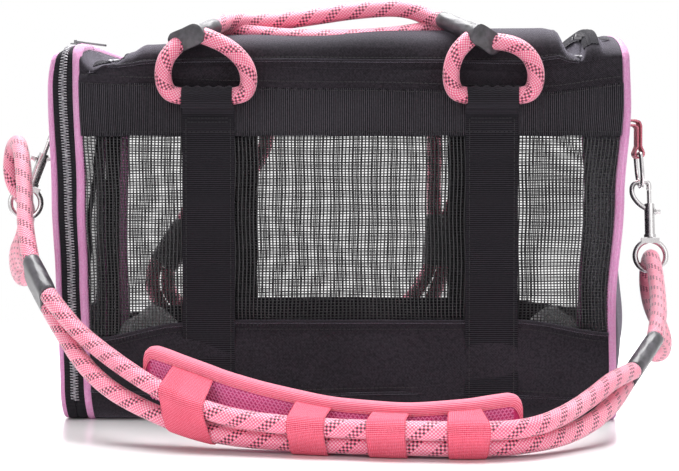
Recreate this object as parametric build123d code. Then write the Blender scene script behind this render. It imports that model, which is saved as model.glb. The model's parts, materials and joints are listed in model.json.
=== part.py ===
from build123d import *
import math
import os

# Soft-sided pet carrier bag with an end door, a top flap, two rope handles and a rope shoulder strap.
# Millimetres. +Z up, X along the bag (the door is at -X), -Y is the front.
# The origin is the middle of the underside, on the surface the bag stands on.

# ---- bag body ----
body_length = 420.0  # between the piped end seams
body_depth = 280.0
body_height = 290.0
seam_height = 270.0  # front hinge seam and rear zip of the top flap
bottom_corner = 14.0  # radius of the long bottom edges
cloth = 2.5  # padded cloth
mesh_cloth = 1.0
window_bottom = 76.0
window_top = {-1: 219.0, 1: 230.0}  # front and rear windows
band_top = 258.0  # top edge of the ribbed band
board_thickness = 4.0
board_margin = 6.0  # side play of the base board
pad_thickness = 30.0  # fleece floor pad
tether_width = 14.0
tether_start_drop = 1.5
seam_gap = 0.4  # between a moving panel and the seam it closes on

# ---- top flap ----
flap_left = -183.0
flap_right = 176.0
flap_edge_drop = 4.5  # how far the flap's long edges sink at mid length
flap_dome = 14.0  # how far its middle rises above those edges
end_rise = 0.6

# ---- piping, gusset and zips ----
piping_diameter = 6.5
gusset_width = 12.0  # both halves of the zipped strip at the door
gusset_thickness = 2.0
gusset_inset = 0.5
coil_width = 3.0  # one half of a zip
coil_height = 1.6
coil_seat = 0.4  # the flap's coil stands this far above its edge
zip_split = 0.6
slider_length = 11.0
slider_width = 8.0
slider_height = 2.2
slider_gap = 0.4  # between a slider and the coil under it
bridge_height = 1.3
bridge_length = 5.0
pull_length = 22.0
pull_width = 4.0
pull_thickness = 1.4
pull_pin = 0.7
pull_clearance = 0.3
pull_droop = 7.0  # degrees below level
door_slider_y = -75.0
top_slider_y = -112.0

# ---- door window ----
door_window_width = 224.0
door_window_bottom = 75.0
door_window_top = 229.0
window_corner = 16.0
window_overlap = 8.0
end_bulge = 4.5

# ---- webbing straps and rope tunnels ----
strap_spacing = 216.0
strap_width = 40.0
webbing = 2.0
tunnel_height = 245.0  # axis of the rope tunnels

# ---- rope ----
rope_diameter = 13.0
tunnel_clearance = 0.35  # all round the rope in the middle of its tunnel
mouth_clearance = 2.0  # the same at the tunnel's flared mouths
tunnel_flare = 8.0  # length of each flare
strand_pitch = 13.2  # between the two strands of the doubled rope
sleeve_wall = 1.2
door_strand_gap = 0.35  # between the door's strap sleeve and the strands that leave it

# ---- end rings, snap hooks ----
ring_wire = 3.5
ring_width = 30.0
ring_clearance = 0.35
tab_width = 22.0
tab_thickness = 4.6  # webbing folded double
tab_right_drop = 28.0
tab_left_drop = 22.0
hook_wire = 4.2
hook_shank_radius = 4.2
bolt_radius = 1.8
bolt_travel = 8.0
bolt_clearance = 0.2
shank_length = 26.0
collar_height = 2.4
jaw_tip = 12.0
bolt_bottom = -13.5
knob_drop = -6.0
knob_reach = 5.2
knob_radius = 3.2
knob_thickness = 3.6
neck_half = 1.1
pin_length = 4.6
eye_radius = 12.75  # centre line of the swivel eye
eye_wire = 4.5
eye_drop = 44.0  # from the top of the shank to the middle of the eye
swivel_pin_radius = 2.0
swivel_clearance = 0.06
swivel_end_gap = 0.5
eye_bar = 15.0  # width of the eye's flat top
hook_right_origin = (250, -1, 164.7)  # top of the shank
hook_right_up = (0, 0.17, 0.985)
hook_right_jaw = (-1, 0, 0)
hook_left_origin = (-258, -5, 206.7)
hook_left_up = (0.35, 0.06, 0.935)
hook_left_jaw = (0.935, 0, -0.35)
ring_seat = (-7.0, 14.4)  # where the ring's bow lies in the jaw: across and up
ring_right_top = (240.5, 0, 207)
ring_left_height = 240.0

front_sleeve_left = ((-121, -147.5, 293), (-103, -110, 305))
front_sleeve_right = ((100, -147.5, 292), (76, -112, 306))
front_across_left = (0.75, -0.47, 0.27)
front_across_right = (-0.66, -0.62, 0.36)
rear_sleeve_left = ((-152, 151.5, 144), (-176, 151.5, 107))
rear_sleeve_right = ((82, 151.5, 153), (79, 151.5, 107))
rear_across_left = (0.839, 0, -0.544)
rear_across_right = (1, 0, -0.065)
rear_handle_y = 151.5
strap_sleeve_left = ((-240, -160, 118), (-222, -190, 95))
strap_sleeve_right = ((225.8, -165, 60.6), (203.8, -205, 40.9))
strap_across_left = (-0.08, 0.66, -0.747)
strap_across_right = (-0.35, 0.55, -0.757)

# ---- shoulder pad ----
pad_height = 37.0
pad_depth = 9.0
strand_stagger = 4.0  # the upper strand lies this far before the middle line, the lower one behind it
pad_gap = 0.9
binding_width = 9.0
binding_thickness = 1.0
band_thickness = 1.2
band_slack = 1.0
band_floor = 0.3

# ---- derived ----
tether_foot = cloth + board_thickness + pad_thickness + 1
top_corner = body_height - seam_height
rope_radius = rope_diameter / 2
piping_radius = piping_diameter / 2
half_length = body_length / 2
half_depth = body_depth / 2
wall_end = half_length - piping_radius
tunnel_outer = rope_radius + mouth_clearance + webbing
pad_front = rope_radius + strand_stagger + pad_gap
tunnel_y = half_depth + tunnel_outer
strap_x = strap_spacing / 2
gusset_start = -half_length - piping_radius
gusset_end = gusset_start - gusset_width - zip_split
split_inner = gusset_start - gusset_width / 2
split_outer = split_inner - zip_split
door_piping_x = gusset_end - piping_radius
door_face = door_piping_x
door_outside = door_face - cloth / 2
ring_bore = ring_wire / 2 + ring_clearance
ring_left_top = (door_outside - ring_bore - webbing, 0, ring_left_height)
coil_face = half_depth + seam_gap  # rear runs of the top zip
flap_coil_foot = body_height + end_rise + coil_seat


def block(x0, x1, y0, y1, z0, z1):
    """Box between two corners."""
    return Pos((x0 + x1) / 2, (y0 + y1) / 2, (z0 + z1) / 2) * Box(x1 - x0, y1 - y0, z1 - z0)


def section(x, inset=0.0):
    """Cross-section of the bag at X = x, shrunk by inset all round."""
    outline = Pos(0, body_height / 2) * Rectangle(body_depth - 2 * inset, body_height - 2 * inset)
    outline = fillet(outline.vertices().group_by(Axis.Y)[0], bottom_corner - inset)
    outline = fillet(outline.vertices().group_by(Axis.Y)[-1], top_corner - inset)
    return Plane.YZ.offset(x) * outline


def hoop(x0, x1, outer_inset, inner_inset):
    """Strip that follows the cross-section, from x0 to x1."""
    return extrude(section(x0, outer_inset) - section(x0, inner_inset), amount=x1 - x0)


def piping_loop(x):
    """Corded piping round the cross-section at X = x."""
    path = section(x, piping_radius).wires()[0]
    return sweep(Plane(path @ 0, z_dir=path % 0) * Circle(piping_radius), path=path)


def route(points):
    """Straight runs joined by tangent arcs, each arc as large as its two runs allow."""
    radii = []
    for before, corner, after in zip(points, points[1:], points[2:]):
        run_in = Vector(*corner) - Vector(*before)
        run_out = Vector(*after) - Vector(*corner)
        turn = math.radians(run_in.get_angle(run_out))
        radii.append(0.45 * min(run_in.length, run_out.length) / math.tan(turn / 2))
    return FilletPolyline(*points, radius=radii), radii


def rope(name, points):
    """Rope along a route; prints its arc radii and compares its volume with section times length."""
    path, radii = route(points)
    solid = sweep(Plane(path @ 0, z_dir=path % 0) * Circle(rope_radius), path=path)
    swept = math.pi * rope_radius**2 * path.length
    rounded = " ".join(f"{radius:.0f}" for radius in radii)
    print(f"{name}: length {path.length:.0f}, volume ratio {solid.volume / swept:.4f}, radii {rounded}")
    return solid


def sleeve(start, end, across, growth=0.0):
    """Shrink sleeve over two strands that lie side by side along `across`, grown all round."""
    axis = Vector(*end) - Vector(*start)
    height = rope_diameter + 2 * (sleeve_wall + growth)
    outline = SlotOverall(strand_pitch + height, height)
    foot = Vector(*start) - axis.normalized() * growth
    return extrude(Plane(foot, x_dir=across, z_dir=axis) * outline, amount=axis.length + 2 * growth)


def trimmed(stretch, *sleeves):
    """Rope stretch without what its sleeves cover."""
    for cover in sleeves:
        stretch = max((stretch - cover).solids(), key=lambda piece: piece.volume)
    return stretch


def beside(point, across, side):
    """Centre of one strand of the pair whose middle is at point."""
    return tuple(Vector(*point) + Vector(*across).normalized() * (side * strand_pitch / 2))


# ---------------------------------------------------------------- bag walls


def wall():
    """Whole cloth tube of the bag between the end seams."""
    return hoop(-wall_end, wall_end, 0, cloth)


def bottom_panel():
    return wall() & block(-wall_end, wall_end, -half_depth + bottom_corner, half_depth - bottom_corner, 0, cloth)


def side_panel(side, low, high):
    """Part of the front (side -1) or rear (side 1) wall between two heights."""
    inner = half_depth - top_corner
    if low < bottom_corner:
        inner = half_depth - bottom_corner
    y0, y1 = sorted((side * inner, side * half_depth))
    return wall() & block(-wall_end, wall_end, y0, y1, low, high)


def side_mesh(side):
    """Mesh sheet of the windows on one long side."""
    y0, y1 = sorted((side * (half_depth - mesh_cloth), side * half_depth))
    return block(-wall_end, wall_end, y0, y1, window_bottom, window_top[side])


def top_end_strip(x0, x1):
    """Fixed strip of the top between the flap and an end seam."""
    return wall() & block(x0, x1, -half_depth, half_depth, seam_height, body_height)


def flap_outline(x, edge, rise):
    """Cross-section of the flap: two rounded long edges and a shallow dome."""
    low = seam_height + seam_gap
    bulge = 1 - math.sqrt(0.5)

    def half_outline(inset):
        across = half_depth - inset
        corner = half_depth - top_corner
        top = edge - inset
        knee = (across - bulge * (across - corner), top - bulge * (top - low))
        return (across, low), knee, (corner, top), (0, top + rise)

    def arcs(inset):
        foot, knee, corner, crown = half_outline(inset)
        near = [ThreePointArc((-foot[0], foot[1]), (-knee[0], knee[1]), (-corner[0], corner[1]))]
        middle = [ThreePointArc((-corner[0], corner[1]), crown, corner)]
        far = [ThreePointArc(corner, knee, foot)]
        return near + middle + far

    outer = arcs(0)
    inner = arcs(cloth)
    ends = [Line(outer[0] @ 0, inner[0] @ 0), Line(outer[-1] @ 1, inner[-1] @ 1)]
    return Plane.YZ.offset(x) * make_face(Curve() + outer + inner + ends)


def top_flap_panel():
    middle = (flap_left + flap_right) / 2
    stations = [
        flap_outline(flap_left, body_height, end_rise),
        flap_outline(middle, body_height - flap_edge_drop, flap_dome),
        flap_outline(flap_right, body_height, end_rise),
    ]
    return loft(stations)


def right_end_panel():
    """Padded end panel that bulges out inside its piping."""
    start = half_length - cloth / 2
    outline = section(start, piping_diameter)
    panel = extrude(outline, amount=cloth)
    bulge = extrude(section(start + cloth, piping_diameter), amount=end_bulge, taper=45)
    return panel + bulge


def base_board():
    play = cloth + board_margin
    return block(-wall_end + play, wall_end - play, -half_depth + bottom_corner, half_depth - bottom_corner,
                 cloth, cloth + board_thickness)


def fleece_pad():
    """Floor pad with rounded upright edges, on the base board."""
    play = cloth + board_margin
    low = cloth + board_thickness
    pad = block(-wall_end + play, wall_end - play, -half_depth + bottom_corner, half_depth - bottom_corner,
                low, low + pad_thickness)
    return fillet(pad.edges().group_by(Axis.Z)[-1], pad_thickness / 4)


def safety_tether():
    """Webbing lead sewn in above the doorway, draped to the front corner and down to the floor pad."""
    x = -wall_end + 3
    corner = -half_depth + cloth + tether_width / 2 + 1
    start = body_height - cloth - tether_start_drop
    line = Polyline((-48, start), (-58, 217), (corner, 150), (corner, tether_foot))
    return extrude(Plane.YZ.offset(x) * trace(line, tether_width), amount=webbing)


# ---------------------------------------------------------------- webbing


def webbing_strap(side, x):
    """Strap sewn up the front or rear wall, folded over at the top into a rope tunnel."""
    y0, y1 = sorted((side * half_depth, side * (half_depth + webbing)))
    x0, x1 = x - strap_width / 2, x + strap_width / 2
    plate = block(x0, x1, y0, y1, bottom_corner, tunnel_height + tunnel_outer + webbing)
    axis = Pos(x, side * tunnel_y, tunnel_height) * Rot(0, 90, 0)
    snug, wide = rope_radius + tunnel_clearance, rope_radius + mouth_clearance
    bore = Cylinder(snug, strap_width)
    for end in (-1, 1):
        flare = Cone(wide if end < 0 else snug, snug if end < 0 else wide, tunnel_flare)
        bore += Pos(0, 0, end * (strap_width - tunnel_flare) / 2) * flare
    return plate + axis * Cylinder(tunnel_outer, strap_width) - axis * bore


# ---------------------------------------------------------------- zipped door end


def gusset(x0, x1):
    return hoop(min(x0, x1), max(x0, x1), gusset_inset, gusset_inset + gusset_thickness)


def door_coil(x0, x1):
    """Half of the door's zip coil, on the front, top and rear of the gusset."""
    ring = hoop(min(x0, x1), max(x0, x1), gusset_inset - coil_height, gusset_inset)
    above = block(-body_length, body_length, -body_depth, body_depth, 2 * bottom_corner, 2 * body_height)
    return ring & above


def window_cut(width, low, high, x0, x1):
    outline = Pos(0, (low + high) / 2) * RectangleRounded(width, high - low, window_corner)
    return extrude(Plane.YZ.offset(x0) * outline, amount=x1 - x0)


def door_panel():
    x0 = door_face - cloth / 2
    panel = extrude(section(x0, piping_diameter), amount=cloth)
    return panel - window_cut(door_window_width, door_window_bottom, door_window_top, x0 - 1, x0 + cloth + 1)


def door_mesh():
    x0 = door_face + cloth / 2
    grow = window_overlap
    return window_cut(door_window_width + 2 * grow, door_window_bottom - grow, door_window_top + grow,
                      x0, x0 + mesh_cloth)


# ---------------------------------------------------------------- zips and sliders


def top_coil_fixed():
    """Half of the top zip that stays on the bag: left, rear and right runs."""
    reach = half_depth - top_corner
    left = flap_left - seam_gap
    right = flap_right + seam_gap
    top = body_height
    low = seam_height - coil_width
    return Compound(children=[
        block(left - coil_width, left, -reach, reach, top, top + coil_height),
        block(right, right + coil_width, -reach, reach, top, top + coil_height),
        block(flap_left, flap_right, coil_face, coil_face + coil_height, low, seam_height),
    ])


def top_coil_flap():
    """Half of the top zip on the flap's left, rear and right edges."""
    reach = half_depth - top_corner
    top = flap_coil_foot
    low = seam_height + seam_gap
    return Compound(children=[
        block(flap_left, flap_left + coil_width, -reach, reach, top, top + coil_height),
        block(flap_right - coil_width, flap_right, -reach, reach, top, top + coil_height),
        block(flap_left, flap_right, coil_face, coil_face + coil_height, low, low + coil_width),
    ])


def zip_slider(x, y, z):
    """Slider above its coil, with a bridge that holds the pull's pin."""
    body = Pos(x, y, z + slider_height / 2) * Box(slider_width, slider_length, slider_height)
    body = fillet(body.edges().filter_by(Axis.Z), 2.0)
    middle = z + slider_height + bridge_height
    bridge = block(x - bridge_height, x + bridge_height, y - bridge_length / 2, y + bridge_length / 2,
                   z + slider_height, middle + bridge_height)
    bore = Pos(x, y, middle) * Rot(90, 0, 0) * Cylinder(pull_pin + pull_clearance, bridge_length + 2)
    return body + bridge - bore


def zip_pull(x, y, z):
    """Pull that lies to the right of its slider: a pin, a fork and a flat bar."""
    inner = bridge_length / 2 + pull_clearance
    outer = inner + pull_thickness
    half = pull_thickness / 2
    reach = bridge_height + pull_clearance + 1
    fork = block(0, reach + pull_width, -outer, outer, -half, half)
    fork -= block(-reach, reach, -inner, inner, -1 - half, 1 + half)
    bar = Pos(reach + pull_length / 2, 0, 0) * Box(pull_length, pull_width, pull_thickness)
    bar = fillet(bar.edges().filter_by(Axis.Z).group_by(Axis.X)[-1], pull_width / 2 - 0.2)
    pin = Rot(90, 0, 0) * Cylinder(pull_pin, 2 * outer)
    height = z + slider_height + bridge_height
    return Pos(x, y, height) * Rot(0, pull_droop, 0) * (fork + bar + pin)


# ---------------------------------------------------------------- end rings and snap hooks


def ring(top, bottom):
    """D ring: straight bar at the top, bow at the bottom, in the plane through both and the Y axis."""
    down = Vector(*bottom) - Vector(*top)
    height = down.length
    half = ring_width / 2
    knee = height - half
    bow = ThreePointArc((half, knee), (0, height), (-half, knee))
    frame = make_face(bow + Polyline((-half, knee), (-half, 0), (half, 0), (half, knee)))
    frame = fillet(frame.vertices().group_by(Axis.Y)[0], ring_wire)
    plane = Plane(top, x_dir=(0, 1, 0), z_dir=Vector(0, 1, 0).cross(down))
    path = (plane * frame).wires()[0]
    return sweep(Plane(path @ 0, z_dir=path % 0) * Circle(ring_wire / 2), path=path)


def ring_tab_right(top, x_wall):
    """Webbing tab that stands out of the end panel and hangs down to its ring."""
    half = tab_thickness / 2
    crest = top[2] + tab_right_drop
    outer = block(top[0] - half, top[0] + half, -tab_width / 2, tab_width / 2, top[2], crest)
    stub = block(x_wall, top[0] + half, -tab_width / 2, tab_width / 2, crest - tab_thickness, crest)
    axis = Pos(*top) * Rot(90, 0, 0)
    fold = axis * Cylinder(ring_bore + webbing, tab_width)
    return outer + stub + fold - axis * Cylinder(ring_bore, 2 * tab_width)


def ring_tab_left(top, x_wall):
    """Short webbing tab sewn flat on the door, with its ring at the lower end."""
    plate = block(x_wall - webbing, x_wall, -tab_width / 2, tab_width / 2, top[2], top[2] + tab_left_drop)
    axis = Pos(*top) * Rot(90, 0, 0)
    fold = axis * Cylinder(ring_bore + webbing, tab_width)
    return plate + fold - axis * Cylinder(ring_bore, 2 * tab_width)


def hook_frame(origin, up, jaw):
    """Plane whose local z runs up the hook's shank and local x points away from the jaw."""
    return Plane(origin, x_dir=Vector(*jaw) * -1, z_dir=up)


def snap_hook():
    """Bolt snap body on its own axis: shank with a bore and a side slot, and a curved jaw."""
    shank = Pos(0, 0, -shank_length / 2) * Cylinder(hook_shank_radius, shank_length)
    collar = Pos(0, 0, -shank_length - collar_height / 2) * Cylinder(hook_shank_radius + 0.8, collar_height)
    path, _ = route([(-1, 0, -5), (-9, 0, 0), (-14.5, 0, 8), (-14, 0, 16.5), (-7, 0, 19.5), (0, 0, 18.5),
                         (0, 0, jaw_tip)])
    jaw = sweep(Plane(path @ 0, z_dir=path % 0) * Circle(hook_wire / 2), path=path)
    bore = block(-hook_wire, hook_wire, -hook_wire, hook_wire, bolt_bottom - bolt_travel - 0.5, jaw_tip)
    bore &= Cylinder(bolt_radius + bolt_clearance, 4 * shank_length)
    slot = block(0, 2 * hook_shank_radius, -neck_half - 0.4, neck_half + 0.4,
                 knob_drop - 2 * neck_half - bolt_travel - 1, knob_drop + 2 * neck_half)
    socket = Pos(0, 0, -shank_length - collar_height + pin_length / 2)
    socket *= Cylinder(swivel_pin_radius + swivel_clearance, pin_length)
    return shank + collar + jaw - bore - slot - socket


def hook_bolt():
    """Spring bolt with its thumb knob."""
    top = jaw_tip - 0.4
    rod = Pos(0, 0, (top + bolt_bottom) / 2) * Cylinder(bolt_radius, top - bolt_bottom)
    neck = block(0, knob_reach, -neck_half, neck_half, knob_drop - neck_half, knob_drop + neck_half)
    knob = Pos(knob_reach + knob_thickness / 2, 0, knob_drop) * Rot(0, 90, 0)
    knob *= Cylinder(knob_radius, knob_thickness)
    return rod + neck + knob


def swivel_eye():
    """Eye that carries the rope and turns on a pin in the hook's shank."""
    foot = -shank_length - collar_height - swivel_end_gap
    path = Edge.make_circle(eye_radius, Plane((0, 0, -eye_drop), x_dir=(0, 0, -1), z_dir=(0, 1, 0)))
    eye = sweep(Plane(path @ 0, z_dir=path % 0) * Circle(eye_wire / 2), path=path)
    bar = Pos(0, 0, foot - eye_wire / 2) * Box(eye_bar, eye_wire + 0.4, eye_wire)
    top = pin_length - shank_length - collar_height - swivel_end_gap
    stem = Pos(0, 0, (top + foot) / 2) * Cylinder(swivel_pin_radius, top - foot)
    return bar + stem + eye


# ---------------------------------------------------------------- rope handles


def handle_front_points():
    """Front handle: loops through the tunnels, upper and lower strand over the top."""
    y, z = -tunnel_y, tunnel_height
    left_0, left_1 = front_sleeve_left
    right_0, right_1 = front_sleeve_right
    a, b = front_across_left, front_across_right
    loop_left = [beside(left_0, a, -1), (-137, -151, 281), (-142, -151, 268), (-140.5, -150, 254),
                 (-132.5, y, z), (-84, y, z), (-76.5, -150, 253.5), (-76.5, -151.5, 268),
                 (-86, -153, 281), (-102, -154, 290.5), beside(left_0, a, 1)]
    loop_right = [beside(right_0, b, 1), (84, -154, 286), (76.5, -152, 272), (76.5, -150, 255),
                  (84, y, z), (132.5, y, z), (140, -150, 254), (141, -151, 268),
                  (134, -151, 281), (119, -149, 289), beside(right_0, b, -1)]
    upper = [beside(left_1, a, 1), (-88, -101, 309), (-62, -103, 307.5), (-28, -108, 311.5), (6, -109, 316.5),
             (42, -107, 319), (64, -108, 309.5), beside(right_1, b, 1)]
    lower = [beside(left_1, a, -1), (-99, -99, 303), (-76, -108, 298.5), (-42, -119, 294.5), (-2, -122, 293.8),
             (38, -115, 297), (66, -104, 303), beside(right_1, b, -1)]
    return {"loop left": loop_left, "loop right": loop_right, "upper": upper, "lower": lower}


def handle_rear_points():
    """Rear handle: loops through the tunnels, doubled strand in a bow that hangs down."""
    z = tunnel_height
    near = tunnel_y
    off = rear_handle_y
    left_0, left_1 = rear_sleeve_left
    right_0, right_1 = rear_sleeve_right
    a, b = rear_across_left, rear_across_right
    loop_left = [beside(left_0, a, -1), (-147, off, 166), (-140, off, 192), (-141, off, 222), (-134, near, z),
                 (-84, near, z), (-77, off, 229), (-86, off, 203), (-108, off, 177), (-133, off, 157),
                 beside(left_0, a, 1)]
    loop_right = [beside(right_0, b, -1), (75, off, 176), (76, off, 206), (75, off, 231), (84, near, z),
                  (132, near, z), (140, off, 229), (134, off, 204), (113, off, 182), (93, off, 169),
                  beside(right_0, b, 1)]
    outer = [beside(left_1, a, -1), (-188, off, 95), (-181, off, 70), (-158, off, 47), (-118, off, 33),
             (-62, off, 27), (-4, off, 31), (42, off, 44), (74, off, 68), beside(right_1, b, 1)]
    inner = [beside(left_1, a, 1), (-173, off, 89), (-166, off, 74), (-148, off, 60), (-114, off, 49),
             (-62, off, 43), (-4, off, 47), (36, off, 61), (62, off, 82), beside(right_1, b, -1)]
    return {"loop left": loop_left, "loop right": loop_right, "outer": outer, "inner": inner}


# ---------------------------------------------------------------- shoulder strap

loop_left_points = [
    beside(strap_sleeve_left[0], strap_across_left, -1), (-249, -140, 146), (-255, -106, 171), (-262, -78, 199),
    (-271, -50, 218), (-281, -29, 209), (-282, -27, 184), (-274, -8, 167), (-275, 14, 158), (-280, 14, 136),
    (-279, -16, 127), (-271, -60, 118), (-260, -105, 111), (-249, -142, 108),
    beside(strap_sleeve_left[0], strap_across_left, 1),
]
loop_right_points = [
    beside(strap_sleeve_right[0], strap_across_right, -1), (237, -132, 79), (243, -92, 88), (248, -54, 101),
    (250, -26, 116), (250, -9, 122.5), (250, 9, 112), (250, 11, 94), (250, -14, 78), (250, -60, 66),
    (246, -105, 57), (236, -145, 50), beside(strap_sleeve_right[0], strap_across_right, 1),
]
strand_upper_points = [
    beside(strap_sleeve_left[1], strap_across_left, -1), (-203, -212, 80), (-181, -232, 65), (-155, -261.5, 51.7),
    (-128.5, -286, 39.5), (-96.5, -303, 28), (-63, -313.7, 21.9), (-15.5, -324.9, 19.4), (37, -335.9, 19.4),
    (88, -339.9, 19.4), (121, -326.5, 19.5), (147.5, -295, 24.5), (173, -258, 34.5), (189, -234, 43),
    beside(strap_sleeve_right[1], strap_across_right, -1),
]
strand_lower_points = [
    beside(strap_sleeve_left[1], strap_across_left, 1), (-206, -207, 68), (-189, -232, 51), (-168, -256, 37),
    (-144, -273.5, 26.8), (-114, -289, 16.4), (-79, -301.5, 9.8), (-39.5, -310.5, 8.1), (5.5, -322.5, 8.1),
    (50, -330.5, 8.1), (91, -333, 8.1), (124.5, -316.5, 8.1), (154, -289, 11.4), (184, -250, 22.5),
    beside(strap_sleeve_right[1], strap_across_right, 1),
]

# Stations along the pad: middle of the two strands in plan, and the height of the pad's top edge.
# Each band spans places along those stations and starts at a height above the floor.
pad_stations = [
    ((-142, -273), 67.5), ((-128, -283), 64.5), ((-95, -299.5), 55), ((-62, -309), 47), ((-15, -321), 40),
    ((38, -331.5), 38.8), ((88, -336), 39.3), ((121, -322), 41),
]
band_spans = [((1.34, 2, 2.2), 2.4), ((3.52, 4, 4.04), band_floor), ((4.56, 5, 5.03), band_floor),
              ((5.57, 6, 6.1), band_floor)]


def pad_station(place):
    """Point, heading and top edge of the pad at a place along it: 0 is the first station, 1 the next."""
    count = len(pad_stations)
    index = min(int(place), count - 2)
    share = place - index
    (start, top_0), (end, top_1) = pad_stations[index], pad_stations[index + 1]

    def heading(station):
        before = Vector(*pad_stations[max(station - 1, 0)][0])
        return (Vector(*pad_stations[min(station + 1, count - 1)][0]) - before).normalized()

    ahead = heading(index) * (1 - share) + heading(index + 1) * share
    return Vector(*start) * (1 - share) + Vector(*end) * share, ahead, top_0 * (1 - share) + top_1 * share


def upright(place, near, far, low, high):
    """Rectangle across the pad at a place, from near to far behind the strands."""
    point, ahead, _ = pad_station(place)
    aside = Vector(-ahead.Y, ahead.X)
    centre = point + aside * (near + far) / 2
    frame = Plane((centre.X, centre.Y, (low + high) / 2), x_dir=aside, z_dir=ahead)
    return frame * Rectangle(far - near, high - low)


def pad_strip(drop_top, drop_bottom):
    """Upright strip along the pad between two drops below its top edge."""
    faces = []
    for place in range(len(pad_stations)):
        top = pad_station(place)[2]
        faces.append(upright(place, pad_front, pad_front + pad_depth, top - drop_bottom, top - drop_top))
    return loft(faces, ruled=True)


def elastic_bands():
    """Four bands, each round the pad and both strands."""
    front = -rope_radius - strand_stagger - band_slack
    back = pad_front + pad_depth + band_slack
    wall = band_thickness
    bands = []
    for places, low in band_spans:
        highs = [pad_station(place)[2] + band_slack for place in places]
        outer = [upright(place, front - wall, back + wall, low, high + wall) for place, high in zip(places, highs)]
        inner = [upright(place, front, back, low + wall, high) for place, high in zip(places, highs)]
        bands.append(loft(outer, ruled=True) - loft(inner, ruled=True))
    return Compound(children=bands)


# ---------------------------------------------------------------- write the nodes

os.makedirs("parts", exist_ok=True)


def write(name, shape):
    export_step(shape, f"parts/{name}.step")


write("bottom_panel", bottom_panel())
write("base_board", base_board())
write("fleece_pad", fleece_pad())
for name, side in (("front", -1), ("rear", 1)):
    write(f"{name}_lower_panel", side_panel(side, 0, window_bottom))
    write(f"{name}_mesh", side_mesh(side))
    write(f"{name}_ribbed_band", side_panel(side, window_top[side], band_top))
    write(f"{name}_shoulder", side_panel(side, band_top, seam_height))
    write(f"{name}_strap_left", webbing_strap(side, -strap_x))
    write(f"{name}_strap_right", webbing_strap(side, strap_x))
write("top_end_strip_left", top_end_strip(-wall_end, flap_left - seam_gap))
write("top_end_strip_right", top_end_strip(flap_right + seam_gap, wall_end))
write("right_end_panel", right_end_panel())
write("right_piping", piping_loop(half_length))
write("left_piping", piping_loop(-half_length))
write("safety_tether", safety_tether())
write("door_zip_tape_inner", gusset(split_inner, gusset_start))
write("door_zip_coil_inner", door_coil(split_inner, split_inner + coil_width))
write("top_zip_coil_fixed", top_coil_fixed())

write("door_panel", door_panel())
write("door_mesh", door_mesh())
write("door_piping", piping_loop(door_piping_x))
write("door_zip_tape_outer", gusset(gusset_end, split_outer))
write("door_zip_coil_outer", door_coil(split_outer - coil_width, split_outer))

write("top_flap_panel", top_flap_panel())
write("top_zip_coil_flap", top_coil_flap())

coil_top = coil_height + slider_gap
door_slider = (split_inner - zip_split / 2, door_slider_y, body_height - gusset_inset + coil_top)
top_slider = (flap_right + seam_gap / 2, top_slider_y, flap_coil_foot + coil_top)
for name, place in (("door", door_slider), ("top", top_slider)):
    write(f"{name}_zip_slider", zip_slider(*place))
    write(f"{name}_zip_pull", zip_pull(*place))

handles = {
    "front": (handle_front_points(), sleeve(*front_sleeve_left, front_across_left),
              sleeve(*front_sleeve_right, front_across_right)),
    "rear": (handle_rear_points(), sleeve(*rear_sleeve_left, rear_across_left),
             sleeve(*rear_sleeve_right, rear_across_right)),
}
for side, (points, *sleeves) in handles.items():
    stretches = [trimmed(rope(f"{side} handle {name}", stretch), *sleeves) for name, stretch in points.items()]
    write(f"{side}_handle_rope", Compound(children=stretches))
    write(f"{side}_handle_sleeves", Compound(children=sleeves))

ends = {
    "right": (hook_right_origin, hook_right_up, hook_right_jaw, ring_right_top),
    "left": (hook_left_origin, hook_left_up, hook_left_jaw, ring_left_top),
}
for name, (origin, up, jaw, ring_top) in ends.items():
    frame = hook_frame(origin, up, jaw)
    ring_bottom = frame.from_local_coords((ring_seat[0], 0, ring_seat[1]))
    write(f"end_ring_{name}", ring(ring_top, ring_bottom))
    write(f"snap_hook_{name}", frame * snap_hook())
    write(f"hook_bolt_{name}", frame * hook_bolt())
    write(f"swivel_eye_{name}", frame * swivel_eye())
write("ring_tab_right", ring_tab_right(ring_right_top, half_length + cloth / 2 + end_bulge))
write("ring_tab_left", ring_tab_left(ring_left_top, door_outside))

sleeve_left = sleeve(*strap_sleeve_left, strap_across_left)
sleeve_left_clear = sleeve(*strap_sleeve_left, strap_across_left, door_strand_gap)
sleeve_right = sleeve(*strap_sleeve_right, strap_across_right)
write("strap_sleeve_left", sleeve_left)
write("strap_sleeve_right", sleeve_right)
write("strap_loop_left", trimmed(rope("strap loop left", loop_left_points), sleeve_left))
write("strap_loop_right", trimmed(rope("strap loop right", loop_right_points), sleeve_right))
for name, points in (("upper", strand_upper_points), ("lower", strand_lower_points)):
    strand = rope(f"strap strand {name}", points)
    write(f"strap_strand_{name}", trimmed(strand, sleeve_left_clear, sleeve_right))
write("strap_pad", pad_strip(binding_width, pad_height))
write("pad_binding", pad_strip(0, binding_width))
write("elastic_bands", elastic_bands())
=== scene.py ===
import json
import math

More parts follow.
